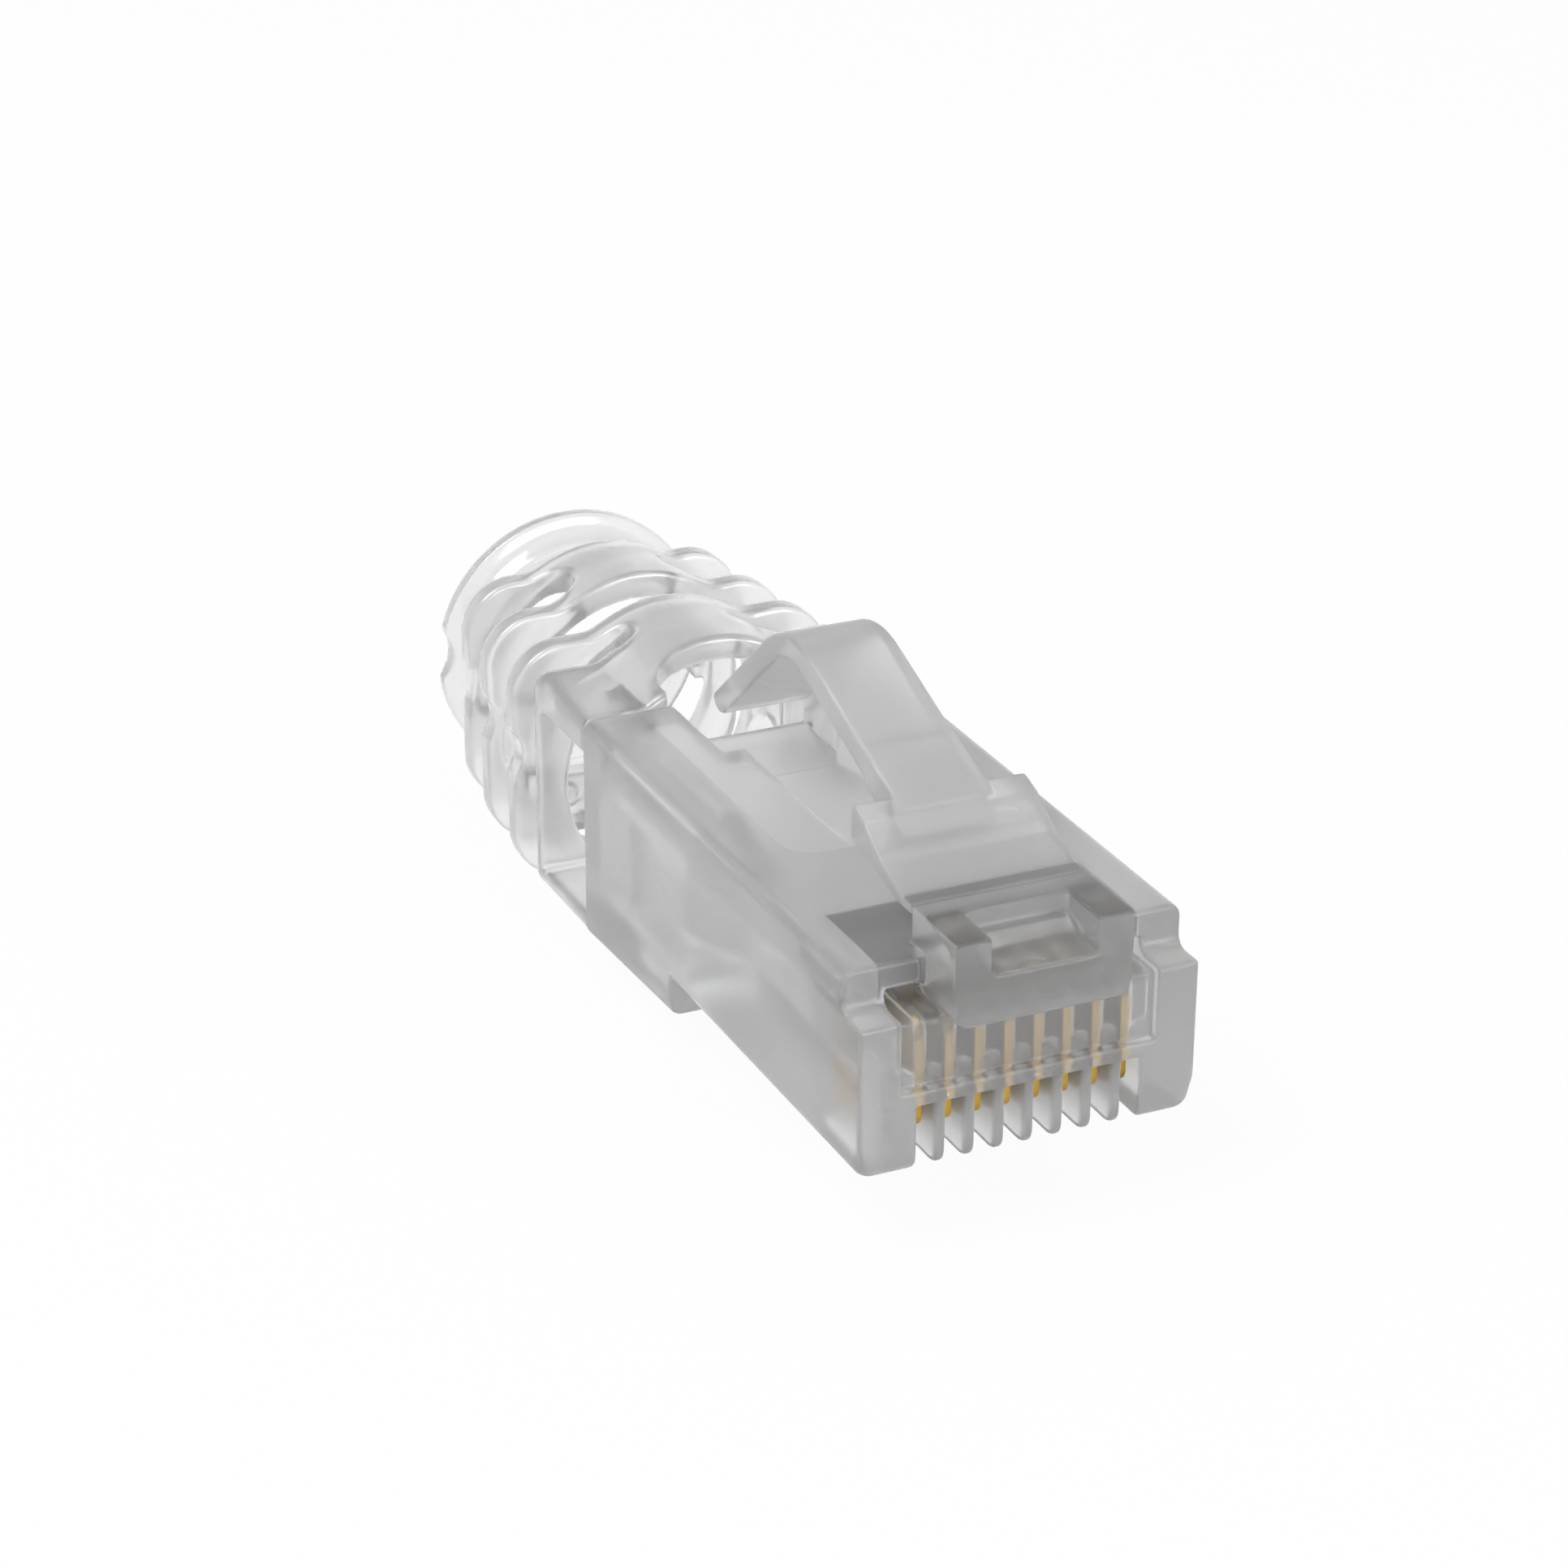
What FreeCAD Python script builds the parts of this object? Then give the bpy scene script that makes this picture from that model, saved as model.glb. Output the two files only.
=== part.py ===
import FreeCAD, Part
import math
import os

os.makedirs("parts", exist_ok=True)

# Eight-way modular data plug with a clear slide-on cable boot.
# Working axes: X across the plug, Y from the nose to the cable end, Z up from the contact side.
# All lengths are millimetres, all angles degrees.

# ---- plug body -------------------------------------------------------------
BODY_W = 11.68            # width over the two side walls
HALF_W = BODY_W / 2.0
BODY_TOP = 6.45           # latch side of the body
BODY_LEN = 21.95          # nose face to the rear face
NOSE_SETBACK = 1.27       # upper nose stands back from the front face
LEDGE_Z = BODY_TOP - 1.40  # top of the low front wall
FRONT_FLOOR = -0.20       # contact side of the two front legs and the fins
STEP_Y = 14.4             # where the contact side drops to the cable part
DROP_Z = (-1.35, -1.70)   # contact side just behind the step, and at the rear
EDGE_R = 0.45             # long outer edges
KEEL_R = 0.60             # bottom edges of the two front legs
FRONT_WALL = 0.6          # thickness of the low front wall
SIDE_WALL = 1.44          # side wall beside the wire chamber
FACE_DEPTH = 0.35         # the front wall stands back from the legs over the contact slots
FACE_FLOOR = 2.60
FAR = 1.6 * HALF_W        # reach of the cutting tools, clear of every face

# ---- contacts --------------------------------------------------------------
WAYS = 8
PITCH = 1.016
BLADE_T = 0.30
BLADE_Y = (0.62, 3.55)
BLADE_Z = (0.90, LEDGE_Z - 0.45)
BLADE_R = 0.45            # corners that meet the jack wires
TINE_ROOT_Z = 4.05
SLOT_W = 0.60             # open comb below the grip slot
SLOT_TOP = 2.05
SLOT_BACK = 4.15
TOE_R = 0.50              # lower front corners of the legs and the seven fins

# ---- wire chamber, cable hole and their roof -------------------------------
CHAMBER_Z = (3.05, LEDGE_Z - 0.60)
GROOVE_R = 0.44           # eight round wire grooves in the chamber floor
CHAMBER_BACK = 8.6
CABLE_HALF_W = 3.85
CABLE_Z = (-0.75, CHAMBER_Z[1])
CABLE_R = 1.25
FUNNEL_Y = STEP_Y + 0.5   # where the funnel meets the cable hole
FUNNEL_FLOOR = 0.65
NOTCH_HALF_W = 2.45       # rear notch under the release tab
NOTCH_Y = BODY_LEN - 4.30
NOTCH_FLOOR = CABLE_Z[1] + 0.52
TROUGH_HALF_W = 1.68
TROUGH_Y = NOTCH_Y - 7.95

# ---- latch block on the nose -----------------------------------------------
BLOCK_HALF_W = 3.05
BLOCK_Y = (-0.75, 2.30)
BLOCK_Z = (LEDGE_Z - 0.25, BODY_TOP + 1.25)
BLOCK_R = 0.55
BLOCK_WINDOW_HALF_W = 1.80
BLOCK_WINDOW_Y = 1.35
BLOCK_WINDOW_Z = (BODY_TOP, BODY_TOP + 0.50)
POCKET_HALF_W = HALF_W - 1.32  # moulding pocket under the upper nose
POCKET_Y = (NOSE_SETBACK + 0.48, 5.35)
POCKET_Z = (BLOCK_Z[0], BODY_TOP - 0.35)
POCKET_DOOR_TOP = LEDGE_Z + 0.50  # the pocket's opening to the front is lower than the pocket

# ---- latch -----------------------------------------------------------------
HINGE_GAP = 0.30          # room left for the thin bending web
LATCH_RISE = ((2.95, 0.0), (4.37, 0.47), (5.72, 1.30), (6.60, 1.57))
LATCH_TOP = [(y, BLOCK_Z[1] + rise) for y, rise in LATCH_RISE]
LATCH_T = (0.35, 1.25)    # thickness at the hinge, and at the shoulders
TAB_HALF_W = 1.625
TAB_T = 0.90
TAB_SLOPE = 19.8
TAB_BEND_Y = BODY_LEN - 7.23
TAB_BEND_R = 2.0
HOOK_TIP = (BODY_LEN - 1.55, BODY_TOP + 0.35)

# ---- clamp bar moulded in the contact side ---------------------------------
CLAMP_HALF_W = 3.1
CLAMP_FROM_REAR = (6.35, 2.55)
CLAMP_Y = (BODY_LEN - CLAMP_FROM_REAR[0], BODY_LEN - CLAMP_FROM_REAR[1])
CLAMP_GAP = 0.45
CLAMP_WEB = 0.35

# ---- boot ------------------------------------------------------------------
BOOT_AXIS_Z = 2.05
COLLAR_Y = BODY_LEN + 4.55
COLLAR_Z = (DROP_Z[1], BODY_TOP)
COLLAR_WALL_Z = (COLLAR_Z[0] + 0.75, COLLAR_Z[1] - 1.25)
COLLAR_WALL_Y = COLLAR_Y - 0.45
COLLAR_R = 0.55
TUBE_R = (5.65, 5.30)     # outside, at the collar and at the last rib
TUBE_WALL = 0.80
TUBE_TOP = 6.35
DOME_R = (4.60, 4.42)     # arched top of the tube, at the collar and at the last rib
DOME_Z = 3.18
BOOT_FLOOR = -2.20
RIB_STEP = 3.17
RIB_BACK = [COLLAR_Y + 2.20 + RIB_STEP * i for i in range(3)]
RIB_HALF_W = (6.11, 5.89, 5.41)
RIB_Z = ((-2.25, 6.77), (-2.17, 6.65), (-2.06, 6.70))
RIB_T = 1.00
RIB_R = 1.90
RIB_EDGE = 0.24           # softened rims of the ribs
BRIDGE_HALF_W = 1.75      # bridges over the top and under the bottom
BRIDGE_SIDE_Z = (1.55, 3.95)
FLUTE_Z = (2.05, 3.65)    # shallow flute along both sides of the ribs
FLUTE_DEPTH = 0.32
FLANGE_FLUTE = (2.20, 0.50)  # height and depth of the same flute where it meets the flange
U_CUT_HALF_W = 2.60
U_CUT_Y = BODY_LEN + 2.0
U_CUT_R = 1.20
FLANGE_R = 5.32
FLANGE_Z = 2.40
FLANGE_Y = (RIB_BACK[-1] + 1.56, RIB_BACK[-1] + 3.06)
NECK_R = 4.35
CABLE_BORE_R = 3.10
CHEEK_X = (2.95, 3.65)
CHEEK_Y = BODY_LEN - 2.55

V = FreeCAD.Vector


def block(x, y, z):
    """Return a box from three (low, high) pairs."""
    size = (x[1] - x[0], y[1] - y[0], z[1] - z[0])
    return Part.makeBox(size[0], size[1], size[2], V(x[0], y[0], z[0]))


def across(points, half_w):
    """Return the solid made by running a closed (Y, Z) outline across the plug."""
    ring = [V(-half_w, y, z) for y, z in points]
    face = Part.Face(Part.makePolygon(ring + [ring[0]]))
    return face.extrude(V(2.0 * half_w, 0, 0))


def rounded_wire(half_w, z, radius, y):
    """Return a rounded rectangle standing across the plug at one Y."""
    x1 = half_w
    z0, z1 = z
    c = radius * (1.0 - math.cos(math.radians(45)))
    lines = (
        Part.makeLine(V(-x1 + radius, y, z0), V(x1 - radius, y, z0)),
        Part.Arc(V(x1 - radius, y, z0), V(x1 - c, y, z0 + c), V(x1, y, z0 + radius)).toShape(),
        Part.makeLine(V(x1, y, z0 + radius), V(x1, y, z1 - radius)),
        Part.Arc(V(x1, y, z1 - radius), V(x1 - c, y, z1 - c), V(x1 - radius, y, z1)).toShape(),
        Part.makeLine(V(x1 - radius, y, z1), V(-x1 + radius, y, z1)),
        Part.Arc(V(-x1 + radius, y, z1), V(-x1 + c, y, z1 - c), V(-x1, y, z1 - radius)).toShape(),
        Part.makeLine(V(-x1, y, z1 - radius), V(-x1, y, z0 + radius)),
        Part.Arc(V(-x1, y, z0 + radius), V(-x1 + c, y, z0 + c), V(-x1 + radius, y, z0)).toShape(),
    )
    return Part.Wire(lines)


def rounded_bar(half_w, z, radius, y):
    """Return a bar of rounded rectangular section running from y[0] to y[1]."""
    return Part.Face(rounded_wire(half_w, z, radius, y[0])).extrude(V(0, y[1] - y[0], 0))


def edges_where(shape, test):
    """Return the edges whose bounding box passes the given test."""
    return [e for e in shape.Edges if test(e.BoundBox)]


def way_centres():
    """Return the X position of each of the eight ways."""
    first = -PITCH * (WAYS - 1) / 2.0
    return [first + PITCH * i for i in range(WAYS)]


# ---- housing ---------------------------------------------------------------

def body_blank():
    """Outer form of the body: stepped nose in front, deeper cable part behind."""
    corners = [(0, FRONT_FLOOR), (STEP_Y, FRONT_FLOOR), (STEP_Y, DROP_Z[0]), (BODY_LEN, DROP_Z[1]),
               (BODY_LEN, BODY_TOP), (NOSE_SETBACK, BODY_TOP), (NOSE_SETBACK, LEDGE_Z), (0, LEDGE_Z)]
    blank = across(corners, HALF_W)
    top = edges_where(blank, lambda b: b.YLength > 15 and b.ZMin > BODY_TOP - 0.01)
    blank = blank.makeFillet(EDGE_R, top)
    keel = edges_where(blank, lambda b: b.XLength < 0.01 and b.ZMax < 0.01 and b.YLength > 0.5)
    blank = blank.makeFillet(KEEL_R, keel)
    inner = edges_where(blank, lambda b: b.XLength > 5 and abs(b.YMin - NOSE_SETBACK) < 0.01
                        and abs(b.ZMax - LEDGE_Z) < 0.01 and b.YLength < 0.01)
    return blank.makeFillet(0.40, inner)


def latch_block():
    """Solid block on the nose that carries the latch, with its open window."""
    solid = block((-BLOCK_HALF_W, BLOCK_HALF_W), BLOCK_Y, BLOCK_Z)
    low = edges_where(solid, lambda b: b.YLength > 1 and b.ZMax < BLOCK_Z[0] + 0.01)
    solid = solid.makeFillet(BLOCK_R, low)
    y0, y1 = BLOCK_Y[0] - 1.0, BLOCK_WINDOW_Y
    z0, z1 = BLOCK_WINDOW_Z
    scoop = Part.Arc(V(0, y1, z1), V(0, (BLOCK_Y[0] + y1) / 2.0, z0 + 0.12), V(0, BLOCK_Y[0], z0))
    rim = [Part.makeLine(V(0, BLOCK_Y[0], z0), V(0, y0, z0)),
           Part.makeLine(V(0, y0, z0), V(0, y0, BLOCK_Z[1] + 1.0)),
           Part.makeLine(V(0, y0, BLOCK_Z[1] + 1.0), V(0, y1, BLOCK_Z[1] + 1.0)),
           Part.makeLine(V(0, y1, BLOCK_Z[1] + 1.0), V(0, y1, z1))]
    tool = Part.Face(Part.Wire([scoop.toShape()] + rim)).extrude(V(2.0 * BLOCK_WINDOW_HALF_W, 0, 0))
    tool.translate(V(-BLOCK_WINDOW_HALF_W, 0, 0))
    return solid.cut(tool)


def comb_slot(x):
    """One open contact slot: rounded fin ends below, grip slot for the blade above."""
    half, pitch_half = SLOT_W / 2.0, PITCH / 2.0
    r = pitch_half - half
    c = r * math.sin(math.radians(45))
    y = -0.1
    foot = FRONT_FLOOR
    low, bend = foot - 3.0, foot + r - c
    right = Part.Arc(V(x + half, y, foot + r), V(x + half + r - c, y, bend), V(x + pitch_half, y, foot))
    left = Part.Arc(V(x - pitch_half, y, foot), V(x - half - r + c, y, bend), V(x - half, y, foot + r))
    rim = [Part.makeLine(V(x - half, y, foot + r), V(x - half, y, SLOT_TOP)),
           Part.makeLine(V(x - half, y, SLOT_TOP), V(x + half, y, SLOT_TOP)),
           Part.makeLine(V(x + half, y, SLOT_TOP), V(x + half, y, foot + r)), right.toShape(),
           Part.makeLine(V(x + pitch_half, y, foot), V(x + pitch_half, y, low)),
           Part.makeLine(V(x + pitch_half, y, low), V(x - pitch_half, y, low)),
           Part.makeLine(V(x - pitch_half, y, low), V(x - pitch_half, y, foot)), left.toShape()]
    comb = Part.Face(Part.Wire(Part.__sortEdges__(rim))).extrude(V(0, SLOT_BACK + 0.1, 0))
    grip = block((x - BLADE_T / 2.0, x + BLADE_T / 2.0), BLADE_Y, (0, BLADE_Z[1] + 0.03))
    return comb.fuse(grip)


def toe():
    """Tool that rounds the lower front edge of the legs and the fins."""
    z = FRONT_FLOOR + TOE_R
    corner = block((-FAR, FAR), (-0.1, TOE_R), (FRONT_FLOOR - 0.1, z))
    return corner.cut(Part.makeCylinder(TOE_R, 2.0 * FAR, V(-FAR, TOE_R, z), V(1, 0, 0)))


def nose_pocket():
    """Pocket under the upper nose, its lower door to the front, and the set-back face below the door."""
    half = HALF_W - SIDE_WALL
    room = block((-POCKET_HALF_W, POCKET_HALF_W), POCKET_Y, POCKET_Z)
    door = block((-half, half), (-0.1, POCKET_Y[0] + 0.01), (POCKET_Z[0], POCKET_DOOR_TOP))
    face = block((-half, half), (-0.1, FACE_DEPTH), (FACE_FLOOR, POCKET_Z[0] + 0.1))
    return room.fuse([door, face])


def cable_hole():
    """Flat wire chamber in front, tall cable hole behind, joined by a funnel."""
    chamber_half = HALF_W - SIDE_WALL
    chamber = block((-chamber_half, chamber_half), (FRONT_WALL + 0.15, CHAMBER_BACK), CHAMBER_Z)
    front = rounded_wire(chamber_half, CHAMBER_Z, 0.10, CHAMBER_BACK - 0.01)
    back = rounded_wire(CABLE_HALF_W, (FUNNEL_FLOOR, CABLE_Z[1]), CABLE_R, FUNNEL_Y)
    funnel = Part.makeLoft([front, back], True, True)
    hole = rounded_bar(CABLE_HALF_W, CABLE_Z, CABLE_R, (FUNNEL_Y, BODY_LEN + 0.1))
    length = CHAMBER_BACK - FRONT_WALL - 0.15
    grooves = [Part.makeCylinder(GROOVE_R, length, V(x, FRONT_WALL + 0.15, CHAMBER_Z[0] + 0.12), V(0, 1, 0))
               for x in way_centres()]
    return chamber.fuse([funnel, hole] + grooves)


def roof_relief():
    """Rear notch and shallow ramp in the latch side, where the release tab comes down."""
    notch = block((-NOTCH_HALF_W, NOTCH_HALF_W), (NOTCH_Y, BODY_LEN + 0.1), (NOTCH_FLOOR, BODY_TOP + 0.1))
    ramp = across([(TROUGH_Y, BODY_TOP), (NOTCH_Y + 0.1, NOTCH_FLOOR + 0.25),
                   (NOTCH_Y + 0.1, BODY_TOP + 0.2), (TROUGH_Y, BODY_TOP + 0.2)], TROUGH_HALF_W)
    return notch.fuse(ramp)


def clamp_bar():
    """Wedge bar in the contact-side window, still on its thin moulded web."""
    y0, y1 = CLAMP_Y
    floor = CABLE_Z[0]
    return across([(y0 + CLAMP_GAP, DROP_Z[0] - 0.05), (y0 + CLAMP_GAP + 0.9, floor + 0.35),
                   (y1 - 0.7, floor + 0.05), (y1 + 0.1, floor - 0.10), (y1 + 0.1, floor - 0.10 - CLAMP_WEB),
                   (y1 - 0.7, DROP_Z[0] - 0.30)], CLAMP_HALF_W - CLAMP_GAP)


def housing():
    """Clear body: comb of contact slots, wire chamber, cable hole, latch block and clamp bar."""
    body = body_blank()
    window = block((-CLAMP_HALF_W, CLAMP_HALF_W), CLAMP_Y, (-3, CABLE_Z[0] + 0.3))
    body = body.cut([nose_pocket(), cable_hole(), roof_relief(), window, toe()])
    body = body.fuse([latch_block(), clamp_bar()])
    body = body.cut([comb_slot(x) for x in way_centres()])
    return body.removeSplitter()


# ---- contacts --------------------------------------------------------------

def contact(x):
    """Stamped blade: rounded foot for the jack wire, three piercing tines on top."""
    y0, y1 = BLADE_Y
    z0, z1 = BLADE_Z
    tines = 3
    step = (y1 - y0) / tines
    outline = [(y0, z0), (y0, TINE_ROOT_Z)]
    for i in range(tines):
        left = y0 + step * i
        outline += [(left + 0.18 * step, z1 - 0.35), (left + 0.42 * step, z1)]
        outline += [(left + 0.58 * step, z1), (left + 0.82 * step, z1 - 0.35)]
        if i < tines - 1:
            outline.append((left + step, TINE_ROOT_Z))
    outline += [(y1, TINE_ROOT_Z), (y1, z0)]
    blade = across(outline, BLADE_T / 2.0)
    foot = edges_where(blade, lambda b: b.YLength < 0.01 and b.ZLength < 0.01 and b.ZMax < z0 + 0.01)
    blade = blade.makeFillet(BLADE_R, foot)
    blade.translate(V(x, 0, 0))
    return blade


# ---- latch -----------------------------------------------------------------

def latch():
    """Latch arm: thin at the hinge, thick at the two locking shoulders, tab folded back down."""
    y_front = BLOCK_Y[1] + HINGE_GAP
    top = [(y_front, LATCH_TOP[0][1])] + list(LATCH_TOP)
    y_sh, z_sh = LATCH_TOP[-1]
    under = [(y_sh, z_sh - LATCH_T[1]), (5.30, z_sh - LATCH_T[1] - 0.10), (4.30, BLOCK_Z[1] - 0.08),
             (3.20, LATCH_TOP[0][1] - LATCH_T[0]), (y_front, LATCH_TOP[0][1] - LATCH_T[0])]
    arm = across(top + under, BLOCK_HALF_W)
    rise = math.tan(math.radians(TAB_SLOPE))
    lean = math.radians(TAB_SLOPE)
    bend = (TAB_BEND_Y, z_sh + rise * (TAB_BEND_Y - y_sh))
    tip_y, tip_z = HOOK_TIP
    tip_top = (tip_y, tip_z + 0.58)
    fall = math.atan2(bend[1] - tip_top[1], tip_top[0] - bend[0])
    drop = TAB_T / math.cos(lean)
    inset = TAB_T * math.tan((lean + fall) / 2.0)
    inner = (bend[0] + TAB_T * math.sin(lean) - inset * math.cos(lean),
             bend[1] - TAB_T * math.cos(lean) - inset * math.sin(lean))
    back_up = 0.30
    heel = (tip_top[0] - TAB_T * math.sin(fall) - back_up * math.cos(fall),
            tip_top[1] - TAB_T * math.cos(fall) + back_up * math.sin(fall))
    tab = [(y_sh - 0.6, z_sh - 0.25), (y_sh, z_sh), bend, tip_top, (tip_y - 0.06, tip_z + 0.25),
           (tip_y - 0.28, tip_z + 0.04), (tip_y - 0.55, tip_z), heel, inner]
    tab += [(9.40, z_sh + rise * (9.40 - y_sh) - drop), (8.10, z_sh - 0.65), (y_sh - 0.6, z_sh - LATCH_T[1])]
    solid = across(tab, TAB_HALF_W)
    bend_edge = edges_where(solid, lambda b: b.XLength > 1 and abs(b.YMin - bend[0]) < 0.01)
    solid = solid.makeFillet(TAB_BEND_R, bend_edge)
    under_edge = edges_where(solid, lambda b: b.XLength > 1 and b.YLength < 0.01
                             and abs(b.YMin - inner[0]) < 0.01 and abs(b.ZMin - inner[1]) < 0.01)
    solid = solid.makeFillet(TAB_BEND_R - TAB_T, under_edge)
    whole = arm.fuse(solid).removeSplitter()
    return whole


# ---- boot ------------------------------------------------------------------

def collar():
    """Open collar behind the body: top and bottom plates, end wall, two cheeks in the cable hole."""
    shell = rounded_bar(HALF_W, COLLAR_Z, COLLAR_R, (BODY_LEN, COLLAR_Y))
    opening = block((-HALF_W - 1, HALF_W + 1), (BODY_LEN - 1, COLLAR_WALL_Y), COLLAR_WALL_Z)
    shell = shell.cut(opening)
    cheeks = []
    for side in (-1, 1):
        x = sorted((side * CHEEK_X[0], side * CHEEK_X[1]))
        cheeks.append(block(x, (BODY_LEN, COLLAR_Y), (COLLAR_WALL_Z[0] - 0.1, COLLAR_WALL_Z[1] + 0.1)))
        cheeks.append(block(x, (CHEEK_Y, BODY_LEN + 0.1), (CABLE_Z[0] + 0.95, CABLE_Z[1] - 0.95)))
    return shell.fuse(cheeks)


def boot_tube():
    """Tapered tube under the ribs: arched top, flat underside."""
    y0, y1 = BODY_LEN, RIB_BACK[-1]
    tube = Part.makeCone(TUBE_R[0], TUBE_R[1], y1 - y0, V(0, y0, BOOT_AXIS_Z), V(0, 1, 0))
    tube = tube.common(block((-FAR, FAR), (y0, y1), (BOOT_FLOOR, TUBE_TOP)))
    dome = Part.makeCone(DOME_R[0], DOME_R[1], y1 - y0, V(0, y0, DOME_Z), V(0, 1, 0))
    return tube.fuse(dome.common(block((-FAR, FAR), (y0, y1), (DOME_Z, FAR))))


def flange():
    """Round end flange with a bell-shaped front, on a short neck."""
    y0 = RIB_BACK[-1] - 0.3
    y1, y2 = FLANGE_Y
    points = [V(0, y0, 0), V(TUBE_R[1] - 0.35, y0, 0), V(NECK_R, y1 - 0.35, 0)]
    lip = V(FLANGE_R - 0.12, y1 + 0.75, 0)
    flare = Part.Arc(points[-1], V(NECK_R + 0.32, y1 + 0.30, 0), lip)
    rim = [lip, V(FLANGE_R, y1 + 0.95, 0), V(FLANGE_R, y2 - 0.2, 0), V(FLANGE_R - 0.2, y2, 0)]
    edges = Part.makePolygon(points).Edges + [flare.toShape()]
    edges += Part.makePolygon(rim + [V(0, y2, 0), V(0, y0, 0)]).Edges
    disc = Part.Face(Part.Wire(edges)).revolve(V(0, 0, 0), V(0, 1, 0), 360)
    disc.translate(V(0, 0, FLANGE_Z))
    return disc.cut(side_flutes(FLANGE_R, FLANGE_FLUTE[0], FLANGE_FLUTE[1], (y1, y2 + RIB_T)))


def side_flutes(half_w, height, depth, y):
    """Return the two round tools that leave a shallow flute in each side."""
    mid = (FLUTE_Z[0] + FLUTE_Z[1]) / 2.0
    half = height / 2.0
    r = (half * half + depth * depth) / (2.0 * depth)
    reach = half_w - depth + r
    return [Part.makeCylinder(r, y[1] - y[0], V(side * reach, y[0], mid), V(0, 1, 0)) for side in (-1, 1)]


def rib(i):
    """One rounded-square rib with softened rims and a shallow flute along each side."""
    back = RIB_BACK[i]
    plate = rounded_bar(RIB_HALF_W[i], RIB_Z[i], RIB_R, (back - RIB_T, back))
    rims = edges_where(plate, lambda b: b.YLength < 0.01)
    plate = plate.makeChamfer(RIB_EDGE, rims)
    height = FLUTE_Z[1] - FLUTE_Z[0]
    return plate.cut(side_flutes(RIB_HALF_W[i], height, FLUTE_DEPTH, (back - 2.0 * RIB_T, back + RIB_T)))


def side_gap(y0, y1):
    """Gap open at both sides: leaves round-ended bridges at the top and the bottom."""
    r = (y1 - y0) / 2.0
    tools = []
    for side in (-1, 1):
        x = sorted((side * (BRIDGE_HALF_W + r), side * FAR))
        tools.append(block(x, (y0, y1), (-FAR, FAR)))
        tools.append(Part.makeCylinder(r, 2.0 * FAR, V(side * (BRIDGE_HALF_W + r), (y0 + y1) / 2.0, -FAR)))
    return tools


def top_gap(y0, y1):
    """Gap open at the top and the bottom: leaves round-ended bridges at both sides."""
    r = (y1 - y0) / 2.0
    z0, z1 = BRIDGE_SIDE_Z
    y = (y0 + y1) / 2.0
    upper = block((-FAR, FAR), (y0, y1), (z1 + r, FAR))
    lower = block((-FAR, FAR), (y0, y1), (-FAR, z0 - r))
    ends = [Part.makeCylinder(r, 2.0 * FAR, V(-FAR, y, z), V(1, 0, 0)) for z in (z1 + r, z0 - r)]
    return [upper, lower] + ends


def boot_bore():
    """Wide stepped inside of the boot, closing down to the cable bore at the flange."""
    y_rib = RIB_BACK[-1]
    y1, y2 = FLANGE_Y
    along = V(0, 1, 0)
    wide = Part.makeCone(TUBE_R[0] - TUBE_WALL, TUBE_R[1] - TUBE_WALL, y_rib - BODY_LEN,
                         V(0, BODY_LEN, BOOT_AXIS_Z), along)
    wide = wide.common(block((-FAR, FAR), (BODY_LEN, y_rib), (BOOT_FLOOR + TUBE_WALL, FAR)))
    taper = Part.makeCone(TUBE_R[1] - TUBE_WALL - 0.35, CABLE_BORE_R, y1 - 0.1 - y_rib,
                          V(0, y_rib, FLANGE_Z), along)
    bore = Part.makeCylinder(CABLE_BORE_R, y2 - y1 + 2.0, V(0, y1 - 1.0, FLANGE_Z), along)
    return [wide, taper, bore]


def collar_room():
    """Room inside the collar plates, open at both sides, and the space under them."""
    room = [block((side * HALF_W - 3.0, side * HALF_W + 3.0), (BODY_LEN - 1, COLLAR_WALL_Y), COLLAR_WALL_Z)
            for side in (-1, 1)]
    return room + [block((-FAR, FAR), (BODY_LEN - 1, COLLAR_Y), (-FAR, COLLAR_Z[0]))]


def u_cut():
    """Round-cornered cut in the collar's top plate, clear of the release tab."""
    tool = block((-U_CUT_HALF_W, U_CUT_HALF_W), (BODY_LEN - 1, U_CUT_Y), (COLLAR_WALL_Z[1] - 0.3, FAR))
    corners = edges_where(tool, lambda b: b.ZLength > 1 and b.YMin > U_CUT_Y - 0.01)
    return tool.makeFillet(U_CUT_R, corners)


def boot():
    """Clear cable boot: collar, domed tube, three ribs, alternate bending gaps and end flange."""
    bore = boot_bore()
    wall = rounded_bar(HALF_W, COLLAR_Z, COLLAR_R, (COLLAR_WALL_Y, COLLAR_Y))
    body = boot_tube().fuse([wall, flange()] + [rib(i) for i in range(len(RIB_BACK))])
    body = body.cut(bore).cut(collar_room())
    in_collar = bore[0].common(block((-FAR, FAR), (COLLAR_WALL_Y - 1, COLLAR_Y + 1), (-FAR, FAR)))
    between = block((-CHEEK_X[0], CHEEK_X[0]), (BODY_LEN - 1, COLLAR_Y), (COLLAR_WALL_Z[1] - 0.1, FAR))
    body = body.fuse(collar()).cut([in_collar, bore[0].common(between)])
    gaps = side_gap(COLLAR_Y, RIB_BACK[0] - RIB_T) + top_gap(RIB_BACK[0], RIB_BACK[1] - RIB_T)
    gaps += side_gap(RIB_BACK[1], RIB_BACK[2] - RIB_T) + top_gap(RIB_BACK[2], FLANGE_Y[0])
    return body.cut(gaps).cut(u_cut()).removeSplitter()


# ---- write every piece -----------------------------------------------------

def shift_to_frame():
    """Return the move that puts the origin at the middle of the underside of the whole plug."""
    length_mid = (BLOCK_Y[0] + FLANGE_Y[1]) / 2.0
    lowest = FLANGE_Z - FLANGE_R
    return V(0, -length_mid, -lowest)


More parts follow.
